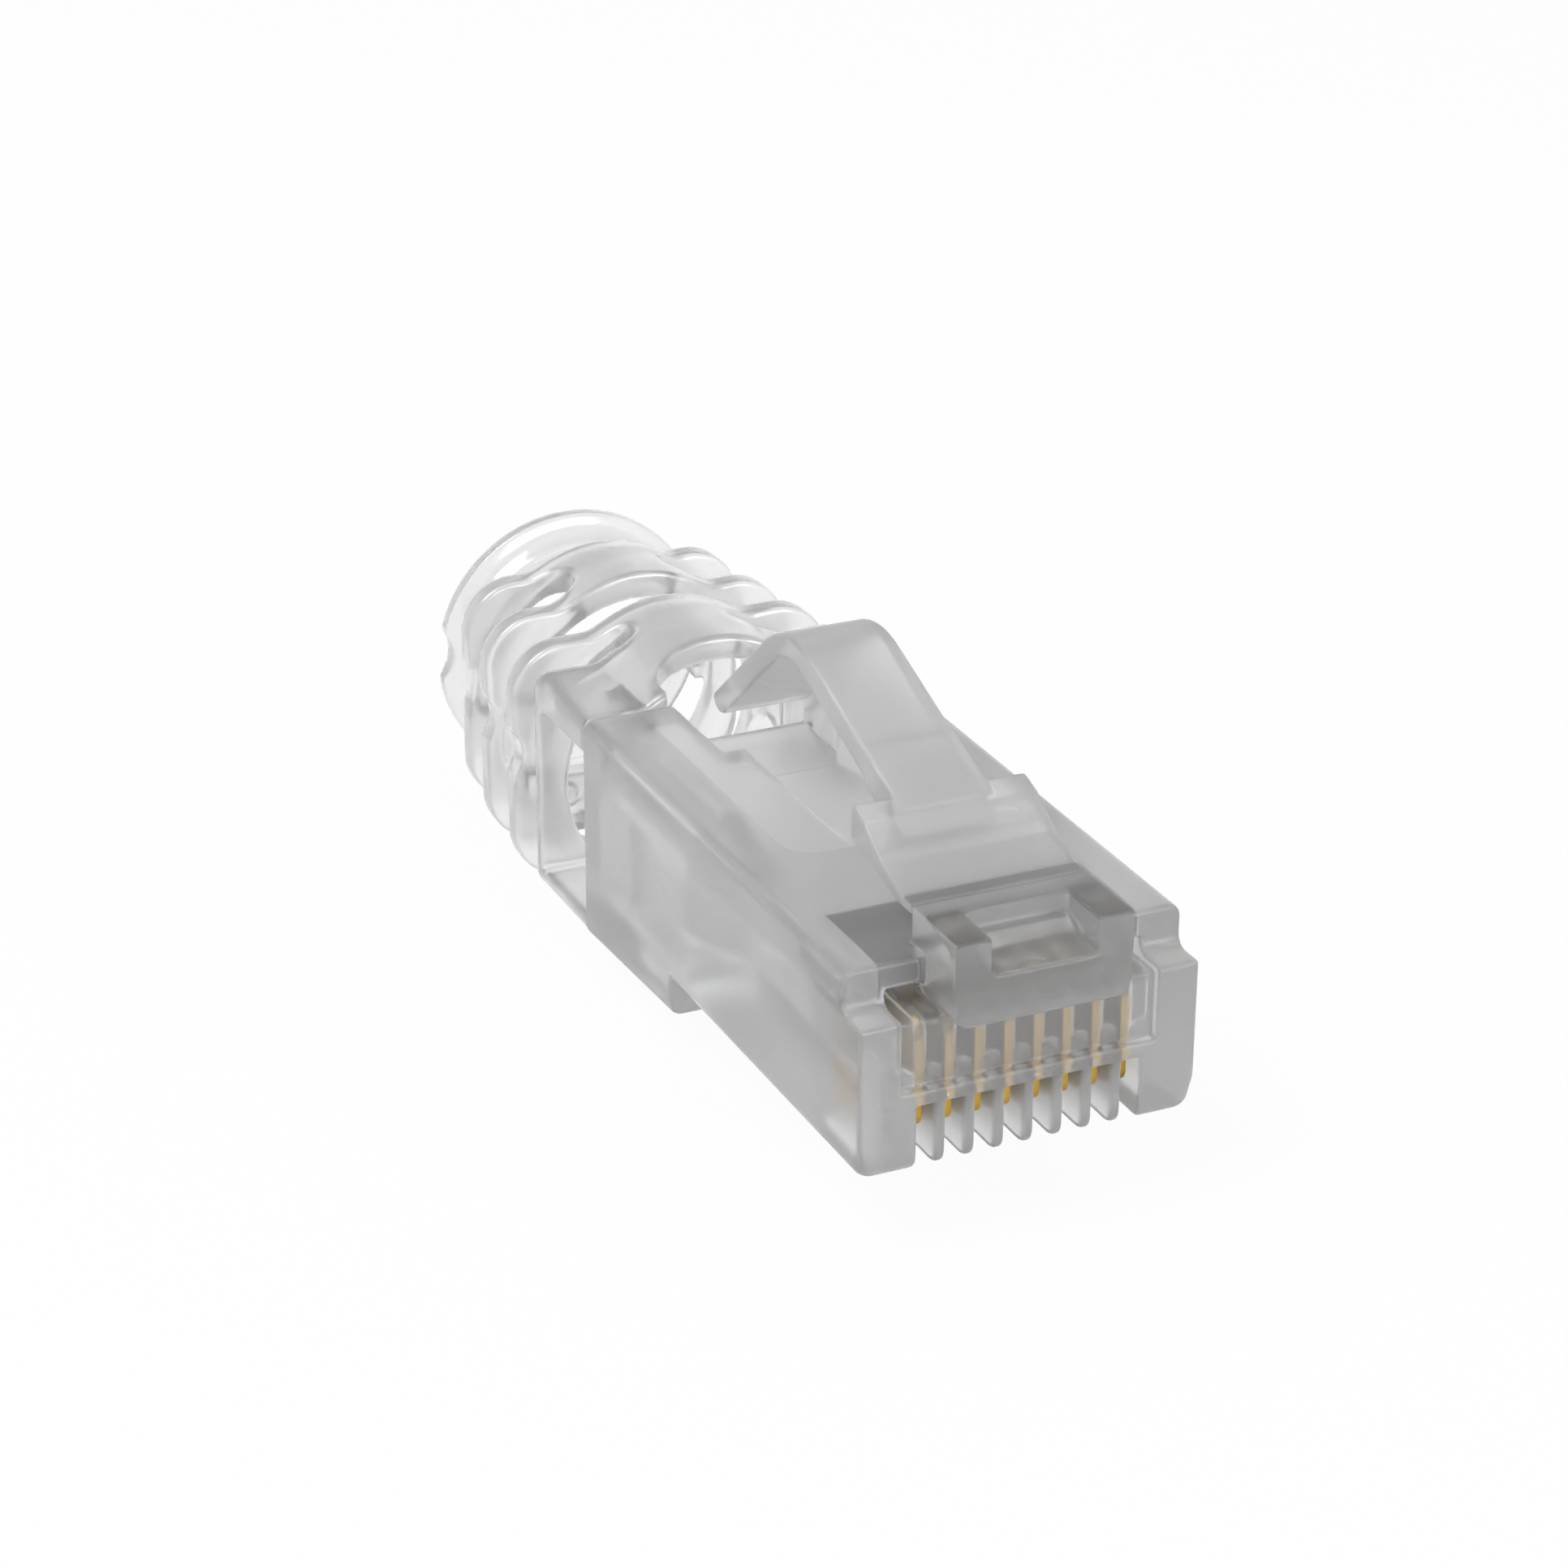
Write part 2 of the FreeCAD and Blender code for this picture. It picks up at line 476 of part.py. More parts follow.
def main():
    """Build and save each piece under its node name."""
    move = shift_to_frame()
    pieces = {"housing": housing(), "latch": latch(), "boot": boot()}
    for number, x in enumerate(way_centres(), start=1):
        pieces["contact_%d" % number] = contact(x)
    for name, shape in pieces.items():
        shape.translate(move)
        shape.exportStep("parts/%s.step" % name)
        box = shape.BoundBox
        print(name, len(shape.Solids), round(shape.Volume, 2), shape.isValid(),
              [round(v, 2) for v in (box.XMin, box.XMax, box.YMin, box.YMax, box.ZMin, box.ZMax)])


main()
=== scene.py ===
"""Dress the eight-way modular plug: frosted body and latch, clear boot, gold blades, pale studio."""

from __future__ import annotations

import logging
import math
from dataclasses import dataclass, field
from enum import Enum
from typing import Any

import bpy
import numpy as np
from mathutils import Matrix, Vector


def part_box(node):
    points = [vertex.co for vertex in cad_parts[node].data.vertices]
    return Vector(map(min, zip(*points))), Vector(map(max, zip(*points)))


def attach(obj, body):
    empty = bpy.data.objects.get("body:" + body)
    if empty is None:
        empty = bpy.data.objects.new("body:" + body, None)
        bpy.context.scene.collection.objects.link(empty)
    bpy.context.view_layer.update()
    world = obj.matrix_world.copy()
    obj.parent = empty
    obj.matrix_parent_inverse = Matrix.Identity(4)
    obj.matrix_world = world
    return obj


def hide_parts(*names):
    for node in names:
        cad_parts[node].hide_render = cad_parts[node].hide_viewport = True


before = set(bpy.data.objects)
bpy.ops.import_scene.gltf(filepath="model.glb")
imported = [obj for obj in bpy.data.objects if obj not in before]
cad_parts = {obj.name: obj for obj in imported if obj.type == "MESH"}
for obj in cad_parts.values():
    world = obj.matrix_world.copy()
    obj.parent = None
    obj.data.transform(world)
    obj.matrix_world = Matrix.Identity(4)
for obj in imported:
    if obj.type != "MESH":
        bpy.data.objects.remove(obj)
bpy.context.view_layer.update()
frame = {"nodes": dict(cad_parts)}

LOG = logging.getLogger("plug")
MM = 0.001
Array = np.ndarray
Pair = tuple[float, float]


@dataclass(frozen=True)
class Datum:
    """Moves working places, in millimetres from the nose face and the contact side, into the frame."""

    length: float = 21.95
    drop: float = -1.70

    def shift(self) -> Array:
        """Return the move in millimetres, read from where the carried housing stands."""
        low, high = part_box("housing")
        return np.array([0.0, high[1] / MM - self.length, low[2] / MM - self.drop])


# ---- shader tools -----------------------------------------------------------


class Signal:
    """One output socket that takes part in sums as a number would."""

    def __init__(self, graph: Graph, socket: bpy.types.NodeSocket) -> None:
        """Keep the graph that owns the socket, and the socket."""
        self.graph = graph
        self.socket = socket

    def __add__(self, other: Signal | float) -> Signal:
        """Return this plus other."""
        return self.graph.math("ADD", self, other)

    __radd__ = __add__

    def __sub__(self, other: Signal | float) -> Signal:
        """Return this minus other."""
        return self.graph.math("SUBTRACT", self, other)

    def __rsub__(self, other: float) -> Signal:
        """Return other minus this."""
        return self.graph.math("SUBTRACT", other, self)

    def __mul__(self, other: Signal | float) -> Signal:
        """Return this times other."""
        return self.graph.math("MULTIPLY", self, other)

    __rmul__ = __mul__

    def clamped(self) -> Signal:
        """Return this kept between 0 and 1."""
        return self.graph.math("MINIMUM", self.graph.math("MAXIMUM", self, 0.0), 1.0)


class Graph:
    """Builds the node tree of one material or world."""

    def __init__(self, tree: bpy.types.NodeTree) -> None:
        """Empty the tree and keep it."""
        self.tree = tree
        tree.nodes.clear()

    def node(self, kind: str, settings: dict[str, Any] | None = None,
             inputs: dict[Any, Any] | None = None) -> bpy.types.Node:
        """Add one node.

        Args:
            kind: the node's type name.
            settings: properties, set first; "stops" holds a ramp's (place, colour) pairs.
            inputs: values or links of its sockets, by name or number.

        Returns:
            The new node.
        """
        made = self.tree.nodes.new(kind)
        for name, value in (settings or {}).items():
            if name == "stops":
                ramp = made.color_ramp.elements
                while len(ramp) < len(value):
                    ramp.new(1.0)
                for stop, (place, colour) in zip(ramp, value):
                    stop.position = place
                    stop.color = colour
            else:
                setattr(made, name, value)
        for name, value in (inputs or {}).items():
            self.feed(made.inputs[name], value)
        return made

    def feed(self, socket: bpy.types.NodeSocket, value: Any) -> None:
        """Link or set one input socket."""
        source = value.socket if isinstance(value, Signal) else value
        if isinstance(source, bpy.types.NodeSocket):
            self.tree.links.new(source, socket)
        else:
            socket.default_value = source

    def math(self, operation: str, *values: Signal | float) -> Signal:
        """Return the result of one Math node."""
        made = self.node("ShaderNodeMath", {"operation": operation}, dict(enumerate(values)))
        return Signal(self, made.outputs[0])

    def mix(self, factor: Any, first: Any, second: Any, blend: str = "MIX") -> Signal:
        """Return two colours mixed by a factor."""
        made = self.node("ShaderNodeMix", {"data_type": "RGBA", "blend_type": blend},
                         {0: factor, 6: first, 7: second})
        return Signal(self, made.outputs[2])

    def noise(self, place: Any, scale: float, detail: float = 2.0, rough: float = 0.5) -> Signal:
        """Return a noise value over a place, from 0 to 1."""
        made = self.node("ShaderNodeTexNoise", {},
                         {"Vector": place, "Scale": scale, "Detail": detail, "Roughness": rough})
        return Signal(self, made.outputs[0])

    def bump(self, height: Signal, depth: float, strength: float) -> Signal:
        """Return a normal bent by a height; depth is in metres."""
        made = self.node("ShaderNodeBump", {},
                         {"Height": height, "Distance": depth, "Strength": strength})
        return Signal(self, made.outputs[0])


def grey(value: float) -> tuple[float, float, float, float]:
    """Return a neutral colour."""
    return (value, value, value, 1.0)


# ---- finishes ---------------------------------------------------------------


class Finish(Enum):
    """The finishes that the pieces have."""

    FROSTED = "frosted"
    CLEAR = "clear"
    GOLD = "gold"

    @classmethod
    def of(cls, node: str) -> Finish:
        """Return the finish of a carried piece."""
        if node.startswith("contact"):
            return cls.GOLD
        return cls.CLEAR if node == "boot" else cls.FROSTED


def begin(name: str) -> tuple[bpy.types.Material, Graph, Signal]:
    """Return a new material, its empty graph and the place on the piece."""
    material = bpy.data.materials.new(name)
    material.use_nodes = True
    graph = Graph(material.node_tree)
    return material, graph, Signal(graph, graph.node("ShaderNodeTexCoord").outputs["Object"])


def close(graph: Graph, inputs: dict[str, Any], density: float = 0.0) -> None:
    """Put a shader on the surface and, where a density is given, plastic that dims light inside."""
    ends = {"Surface": graph.node("ShaderNodeBsdfPrincipled", {}, inputs).outputs[0]}
    if density > 0.0:
        depth = graph.node("ShaderNodeVolumeAbsorption", {}, {"Color": grey(0.4), "Density": density})
        ends["Volume"] = depth.outputs[0]
    graph.node("ShaderNodeOutputMaterial", {}, ends)


@dataclass(frozen=True)
class Zone:
    """A box in the housing whose skin gets painted light or shade in its base colour, in working
    millimetres.
    """

    half: float
    y: Pair
    z: Pair

    def inside(self, graph: Graph, parts: bpy.types.Node) -> Signal:
        """Return 1 where a place lies in the box, else 0."""
        found: Signal | float = 1.0
        sides = ((-self.half, self.half), self.y, self.z)
        for name, (low, high), move in zip("XYZ", sides, Datum().shift()):
            value = Signal(graph, parts.outputs[name])
            above = graph.math("GREATER_THAN", value, (low + move) * MM)
            found = above * graph.math("LESS_THAN", value, (high + move) * MM) * found
        return found


@dataclass(frozen=True)
class FrostedPlastic:
    """Moulded translucent plastic: an eroded skin that blurs what lies behind it, polished inside.

    Light and shade are painted into the base colour: the cable hole and its roof get painted light,
    the wire chamber's front and the block's top painted shade, and the moulding pocket deep painted
    shade. The roof's painted-light zone has round front corners.
    """

    name: str = "frosted_plastic"
    tint: float = 0.85
    passing: float = 0.87
    roughness: float = 0.34
    polished: float = 0.16
    index: float = 1.42
    density: float = 34.0
    # Boxes that get painted light (hole, roof) or painted shade (chamber, crown, pocket) in the base colour
    hole: Zone = Zone(3.60, (9.15, 21.75), (-0.85, 4.55))
    roof: Zone = Zone(3.80, (9.15, 21.75), (4.45, 6.50))
    roof_corner: Pair = (2.60, 10.35)
    roof_r: float = 1.20
    chamber: Zone = Zone(4.50, (0.65, 4.65), (2.65, 4.52))
    crown: Zone = Zone(3.00, (-0.75, 2.91), (7.58, 7.80))
    pocket: Zone = Zone(4.60, (1.65, 5.45), (4.98, 6.25))
    # painted light: grey of the hole and roof zone, brighter than the plastic, stands in for light through
    # the thin roof
    painted_light: float = 1.00
    # painted shade: grey of the wire chamber's front, standing in for shade seen through the front wall
    chamber_painted_shade: float = 0.46
    # painted shade: grey of the block's top, standing in for shade seen down through the block
    crown_painted_shade: float = 0.52
    # painted shade: grey of the moulding pocket, standing in for shade where the air gap turns light away
    pocket_painted_shade: float = 0.18

    def corners(self, graph: Graph, parts: bpy.types.Node) -> Signal:
        """Return 1 where a place isn't past the round front corners of the roof's painted-light zone, else
        0.
        """
        half, front = self.roof_corner
        ahead = float(front + Datum().shift()[1]) * MM
        beside = graph.math("ABSOLUTE", Signal(graph, parts.outputs["X"])) - half * MM
        before = ahead - Signal(graph, parts.outputs["Y"])
        beside, before = (graph.math("MAXIMUM", past, 0.0) for past in (beside, before))
        return graph.math("LESS_THAN", beside * beside + before * before, (self.roof_r * MM) ** 2)

    def make(self) -> bpy.types.Material:
        """Return the material."""
        material, graph, place = begin(self.name)
        grain = graph.noise(place, 9000.0, 2.0, 0.6)
        clouds = graph.noise(place, 260.0, 3.0, 0.55)
        parts = graph.node("ShaderNodeSeparateXYZ", {}, {0: place})
        hole = self.hole.inside(graph, parts)
        roof = self.roof.inside(graph, parts) * self.corners(graph, parts)
        pocket = self.pocket.inside(graph, parts)
        colour = graph.mix(clouds, grey(self.tint - 0.03), grey(self.tint + 0.03))
        chamber_shade_mask, crown_shade_mask = self.chamber.inside(graph, parts), self.crown.inside(graph, parts)
        # Paint light and shade: hole and roof painted bright, chamber front, block top and pocket painted
        # dark
        for zone, tone in (((hole + roof).clamped(), self.painted_light), (chamber_shade_mask, self.chamber_painted_shade),
                           (crown_shade_mask, self.crown_painted_shade), (pocket, self.pocket_painted_shade)):
            colour = graph.mix(zone, colour, grey(tone))
        outer = self.roughness + (clouds - 0.5) * 0.06 + (grain - 0.5) * 0.04
        inner = (hole + pocket).clamped()
        close(graph, {
            "Base Color": colour, "Roughness": outer * (1.0 - inner) + inner * self.polished,
            "IOR": self.index, "Transmission Weight": self.passing,
            "Normal": graph.bump(grain, 0.000005, 0.25)}, self.density)
        return material


@dataclass(frozen=True)
class ClearPlastic:
    """Soft clear plastic with a satin skin, a glossy coat and faint flow lines."""

    name: str = "clear_plastic"
    tint: float = 0.95
    passing: float = 0.92
    roughness: float = 0.285
    index: float = 1.43
    gloss: float = 1.00
    coat_roughness: float = 0.06
    coat_index: float = 1.60
    density: float = 18.0

    def make(self) -> bpy.types.Material:
        """Return the material."""
        material, graph, place = begin(self.name)
        flow = graph.noise(place, 420.0, 2.0, 0.5)
        close(graph, {
            "Base Color": graph.mix(flow, grey(self.tint - 0.02), grey(self.tint + 0.02)),
            "Roughness": self.roughness + flow * 0.05, "IOR": self.index,
            "Transmission Weight": self.passing, "Coat Weight": self.gloss,
            "Coat Roughness": self.coat_roughness, "Coat IOR": self.coat_index,
            "Normal": graph.bump(flow, 0.00004, 0.15)}, self.density)
        return material


@dataclass(frozen=True)
class GoldPlate:
    """Thin gold over stamped bronze: drawn lines along the blade and duller patches."""

    name: str = "gold_plate"
    dull: tuple[float, float, float, float] = (0.46, 0.28, 0.04, 1.0)
    fresh: tuple[float, float, float, float] = (0.64, 0.42, 0.09, 1.0)
    roughness: float = 0.26

    def make(self) -> bpy.types.Material:
        """Return the material."""
        material, graph, place = begin(self.name)
        lined = graph.node("ShaderNodeMapping", {}, {"Vector": place, "Scale": (1.0, 9.0, 1.0)})
        lines = graph.noise(Signal(graph, lined.outputs[0]), 2400.0, 2.0, 0.6)
        patches = graph.noise(place, 900.0, 2.0, 0.5)
        close(graph, {
            "Base Color": graph.mix(patches, self.dull, self.fresh), "Metallic": 1.0,
            "Roughness": self.roughness + lines * 0.12, "Normal": graph.bump(lines, 0.00001, 0.2)})
        return material


# ---- studio -----------------------------------------------------------------


@dataclass
class Studio:
    """White sweep, soft lamps and the camera."""

    azimuth: float = -24.798
    elevation: float = 24.553
    roll: float = 0.272
    place_mm: tuple[float, float, float] = (-53.9595, -117.3389, 66.2685)
    lens_mm: float = 95.363
    floor_half: float = 1.2
    floor_cells: int = 4
    floor_z: float = -0.00002
    floor_grey: float = 0.86
    floor_glow: float = 0.94
    ring: tuple[Pair, ...] = ((0.0, 1.0), (0.27, 1.0), (0.46, 0.30), (0.72, 0.24), (0.88, 0.75), (1.0, 0.75))
    dim: float = 0.55

    def back(self) -> Vector:
        """Return the direction from the object to the camera."""
        a, e = math.radians(self.azimuth), math.radians(self.elevation)
        return Vector((math.sin(a) * math.cos(e), -math.cos(a) * math.cos(e), math.sin(e)))

    def camera(self) -> None:
        """Create the camera at its angle and make it the scene's."""
        data = bpy.data.cameras.new("camera")
        data.sensor_width = 36.0
        data.lens = self.lens_mm
        data.clip_start = 0.001
        made = bpy.data.objects.new("camera", data)
        back = self.back()
        right = Vector((0.0, 0.0, 1.0)).cross(back).normalized()
        up = back.cross(right)
        turn = math.radians(self.roll)
        across = right * math.cos(turn) + up * math.sin(turn)
        above = back.cross(across)
        rows = Matrix((across, above, back)).transposed()
        made.matrix_world = Matrix.Translation(Vector(self.place_mm) * MM) @ rows.to_4x4()
        bpy.context.scene.collection.objects.link(made)
        bpy.context.scene.camera = made

    def seen(self, graph: Graph, direct: float) -> Signal:
        """Return how far a ray looks at the set.

        Args:
            graph: the graph that the sum joins.
            direct: the share for the camera's own rays.

        Returns:
            That share for them, 1 for rays through or off the plug, and 0 for the rest.
        """
        rays = graph.node("ShaderNodeLightPath")
        camera, mirrored, passed = (Signal(graph, rays.outputs[f"Is {kind} Ray"])
                                    for kind in ("Camera", "Glossy", "Transmission"))
        return (camera * direct + mirrored + passed).clamped()

    def world(self) -> None:
        """Make the world: a white surround to look at, with a grey ring high up, and dimmer as a light."""
        made = bpy.data.worlds.new("studio")
        bpy.context.scene.world = made
        made.use_nodes = True
        graph = Graph(made.node_tree)
        camera = Signal(graph, graph.node("ShaderNodeLightPath").outputs["Is Camera Ray"])
        looked = self.seen(graph, 0.0)
        way = graph.node("ShaderNodeTexCoord").outputs["Generated"]
        parts = graph.node("ShaderNodeSeparateXYZ", {}, {0: way})
        height = Signal(graph, parts.outputs["Z"])
        stops = [(place, grey(value)) for place, value in self.ring]
        ring = Signal(graph, graph.node("ShaderNodeValToRGB", {"stops": stops}, {"Fac": height}).outputs[0])
        level = camera + (1.0 - camera) * (looked * ring + (1.0 - looked) * self.dim)
        shade = graph.node("ShaderNodeBackground", {}, {"Color": grey(1.0), "Strength": level})
        graph.node("ShaderNodeOutputWorld", {}, {"Surface": shade.outputs[0]})

    def floor(self) -> None:
        """Make the pale floor, white to look at but for the object's soft shadow."""
        n = self.floor_cells
        grid = np.linspace(-self.floor_half, self.floor_half, n + 1)
        x, y = np.meshgrid(grid, grid, indexing="ij")
        points = np.stack([x, y, np.full_like(x, self.floor_z)], axis=-1).reshape(-1, 3)
        row = np.arange(n)
        first = (row[:, None] * (n + 1) + row[None, :]).ravel()
        faces = np.stack([first, first + n + 1, first + n + 2, first + 1], axis=1)
        mesh = bpy.data.meshes.new("floor")
        mesh.from_pydata(points.tolist(), [], faces.tolist())
        made = bpy.data.objects.new("floor", mesh)
        bpy.context.scene.collection.objects.link(made)
        material = bpy.data.materials.new("floor_white")
        material.use_nodes = True
        graph = Graph(material.node_tree)
        lit = graph.node("ShaderNodeBsdfDiffuse", {}, {"Color": grey(self.floor_grey)})
        glow = graph.node("ShaderNodeEmission", {}, {"Color": grey(1.0), "Strength": 1.0})
        both = graph.node("ShaderNodeMixShader", {}, {
            0: self.seen(graph, self.floor_glow), 1: lit.outputs[0], 2: glow.outputs[0]})
        graph.node("ShaderNodeOutputMaterial", {}, {"Surface": both.outputs[0]})
        mesh.materials.append(material)

    def lamp(self, name: str, place: tuple[float, float, float], size: float, power: float) -> None:
        """Add one square soft lamp that points at the object.

        Args:
            name: the lamp's name.
            place: where it hangs, in metres.
            size: its side, in metres.
            power: its power in watts.
        """
        data = bpy.data.lights.new(name, "AREA")
        data.size = size
        data.energy = power
        made = bpy.data.objects.new(name, data)
        spot = Vector(place)
        made.matrix_world = Matrix.Translation(spot) @ spot.to_track_quat("Z", "Y").to_matrix().to_4x4()
        bpy.context.scene.collection.objects.link(made)

    def build(self) -> None:
        """Set up the whole studio."""
        self.camera()
        self.world()
        self.floor()
        self.lamp("key", (-0.22, -0.05, 0.36), 0.22, 0.95)
        self.lamp("front", (0.10, -0.43, 0.08), 0.30, 1.5)
        bpy.context.scene.view_settings.view_transform = "Standard"


# ---- mouldings worked out as distances --------------------------------------


def axis(*spans: tuple[float, float, float]) -> Array:
    """Return the stations of one lattice axis.

    Args:
        spans: runs of (from, to, step) in millimetres that follow each other.

    Returns:
        Every run divided evenly, each shared end given once.
    """
    runs = [np.linspace(a, b, max(2, int(round((b - a) / step)) + 1))[:-1] for a, b, step in spans]
    return np.concatenate(runs + [np.array([spans[-1][1]])])


def join(a: Array, b: Array, soft: float = 0.0) -> Array:
    """Union of two solids: the smaller distance, rounded where both are nearer than soft."""
    if soft <= 0.0:
        return np.minimum(a, b)
    near = np.maximum(soft - np.abs(a - b), 0.0) / soft
    return np.minimum(a, b) - near * near * (soft * 0.25)


def meet(a: Array, b: Array, soft: float = 0.0) -> Array:
    """Common part of two solids: the larger distance, with its edges rounded over soft."""
    return -join(-a, -b, soft)


def cut(a: Array, b: Array, soft: float = 0.0) -> Array:
    """Solid a without solid b, with the new edges rounded over soft."""
    return -join(-a, b, soft)


def span(v: Array, low: Any, high: Any) -> Array:
    """Distance to the slab between low and high on one axis."""
    return np.maximum(low - v, v - high)


def rounded_meet(a: Array, b: Array, radius: Any) -> Array:
    """Common part of two solids whose shared edge is a true round of the radius.

    The distance is the length of the part of (a, b) that sticks out past the corner moved in by the
    radius, less the radius.
    """
    p, q = a + radius, b + radius
    return np.hypot(np.maximum(p, 0.0), np.maximum(q, 0.0)) + np.minimum(np.maximum(p, q), 0.0) - radius


def plate(u: Array, v: Array, half: Any, low: Any, high: Any, radius: Any) -> Array:
    """Distance to a rounded rectangle: |u| up to half, v from low to high, corners of the radius."""
    return rounded_meet(np.abs(u) - half, span(v, low, high), radius)


@dataclass
class Lattice:
    """Points on which a moulding is given by its distance, negative inside, in millimetres.

    A point is drawn on to the skin over at most the reach. Its normal is the distance's slope where
    that and the faces' mean agree, by their cosine, and else the mean.
    """

    xs: Array
    ys: Array
    zs: Array
    reach: float = 0.035
    agree: float = 0.94

    @property
    def x(self) -> Array:
        """Places along X, ready to spread over the lattice."""
        return self.xs[:, None, None]

    @property
    def y(self) -> Array:
        """Places along Y, ready to spread over the lattice."""
        return self.ys[None, :, None]

    @property
    def z(self) -> Array:
        """Places along Z, ready to spread over the lattice."""
        return self.zs[None, None, :]

    def read(self, fields: list[Array], points: Array) -> Array:
        """Return each field at the points, blended linearly between the eight nearest stations."""
        low, part = [], []
        for stations, value in zip((self.xs, self.ys, self.zs), points.T):
            i = np.clip(np.searchsorted(stations, value) - 1, 0, len(stations) - 2)
            low.append(i)
            part.append((value - stations[i]) / (stations[i + 1] - stations[i]))
        total = np.zeros((len(points), len(fields)))
        for corner in np.ndindex(2, 2, 2):
            weight = np.ones(len(points))
            for side, p in zip(corner, part):
                weight = weight * (p if side else 1.0 - p)
            at = tuple(i + side for i, side in zip(low, corner))
            total += np.stack([f[at] for f in fields], axis=1) * weight[:, None]
        return total

    def corners_mixed(self, field_: Array) -> Array:
        """Return which cells have corners both inside and outside."""
        inside = field_ < 0.0
        count = np.zeros(tuple(n - 1 for n in field_.shape), np.uint8)
        for a, b, c in np.ndindex(2, 2, 2):
            count += inside[a:a + count.shape[0], b:b + count.shape[1], c:c + count.shape[2]]
        return (count > 0) & (count < 8)

    def crossings(self, field_: Array, cells: Array) -> Array:
        """Return one point for each cell: the mean of the places where its edges cross the skin."""
        offsets = np.array(list(np.ndindex(2, 2, 2)))
        at = cells[:, None, :] + offsets[None]
        value = field_[at[..., 0], at[..., 1], at[..., 2]]
        place = np.stack([self.xs[at[..., 0]], self.ys[at[..., 1]], self.zs[at[..., 2]]], axis=-1)
        total = np.zeros((len(cells), 3))
        count = np.zeros(len(cells))
        for a in range(8):
            for b in range(a + 1, 8):
                if np.abs(offsets[a] - offsets[b]).sum() == 1:
                    va, vb = value[:, a], value[:, b]
                    crossed = (va < 0.0) != (vb < 0.0)
                    t = np.where(crossed, va / np.where(crossed, va - vb, 1.0), 0.0)[:, None]
                    point = place[:, a] * (1.0 - t) + place[:, b] * t
                    total += point * crossed[:, None]
                    count += crossed
        return total / count[:, None]

    def quads(self, field_: Array, ids: Array) -> Array:
        """Return the faces: one quad round every lattice edge that crosses the skin."""
        inside = field_ < 0.0
        faces = []
        for run in range(3):
            one, two = (run + 1) % 3, (run + 2) % 3
            first = np.take(inside, np.arange(inside.shape[run] - 1), axis=run)
            second = np.take(inside, np.arange(1, inside.shape[run]), axis=run)
            places = np.argwhere(first != second)
            keep = np.ones(len(places), bool)
            for across in (one, two):
                keep &= (places[:, across] > 0) & (places[:, across] < inside.shape[across] - 1)
            places = places[keep]
            leaving = first[tuple(places.T)]
            ring = []
            for s, t in ((1, 1), (0, 1), (0, 0), (1, 0)):
                at = places.copy()
                at[:, one] -= s
                at[:, two] -= t
                ring.append(ids[tuple(at.T)])
            quad = np.stack(ring, axis=1)
            faces.append(np.where(leaving[:, None], quad, quad[:, ::-1]))
        return np.concatenate(faces)

    def skin(self, field_: Array) -> tuple[Array, Array, Array]:
        """Work out the surface where the distance is nought.

        Each mixed cell gives one point. The points are drawn on to the surface along the slope of
        the distance, which is also their normal.

        Args:
            field_: the distance on the whole lattice.

        Returns:
            The points in millimetres, the quads and the normals.
        """
        field_ = np.broadcast_to(field_, (len(self.xs), len(self.ys), len(self.zs))).astype(float)
        mixed = self.corners_mixed(field_)
        cells = np.argwhere(mixed)
        ids = np.full(mixed.shape, -1, np.int64)
        ids[mixed] = np.arange(len(cells))
        points = self.crossings(field_, cells)
        slopes = np.gradient(field_, self.xs, self.ys, self.zs)
        fields = [field_, *slopes]
        start = points.copy()
        for _ in range(3):
            now = self.read(fields, points)
            steep = np.maximum((now[:, 1:] ** 2).sum(1), 0.25)
            points = points - now[:, 1:] * (now[:, 0] / steep)[:, None]
            moved = np.linalg.norm(points - start, axis=1, keepdims=True)
            points = start + (points - start) * np.minimum(1.0, self.reach / np.maximum(moved, 1e-9))
        normals = self.read(fields, points)[:, 1:]
        normals /= np.maximum(np.linalg.norm(normals, axis=1, keepdims=True), 1e-9)
        faces = self.quads(field_, ids)
        plain = self.face_means(points, faces)
        cosine = (normals * plain).sum(1, keepdims=True)
        return points, faces, np.where(cosine > self.agree, normals, plain)

    def face_means(self, points: Array, faces: Array) -> Array:
        """Return each point's unit normal as the mean of its faces' own, by area."""
        corner = points[faces]
        own = np.cross(corner[:, 2] - corner[:, 0], corner[:, 3] - corner[:, 1])
        total = np.zeros_like(points)
        for i in range(4):
            np.add.at(total, faces[:, i], own)
        return total / np.maximum(np.linalg.norm(total, axis=1, keepdims=True), 1e-12)


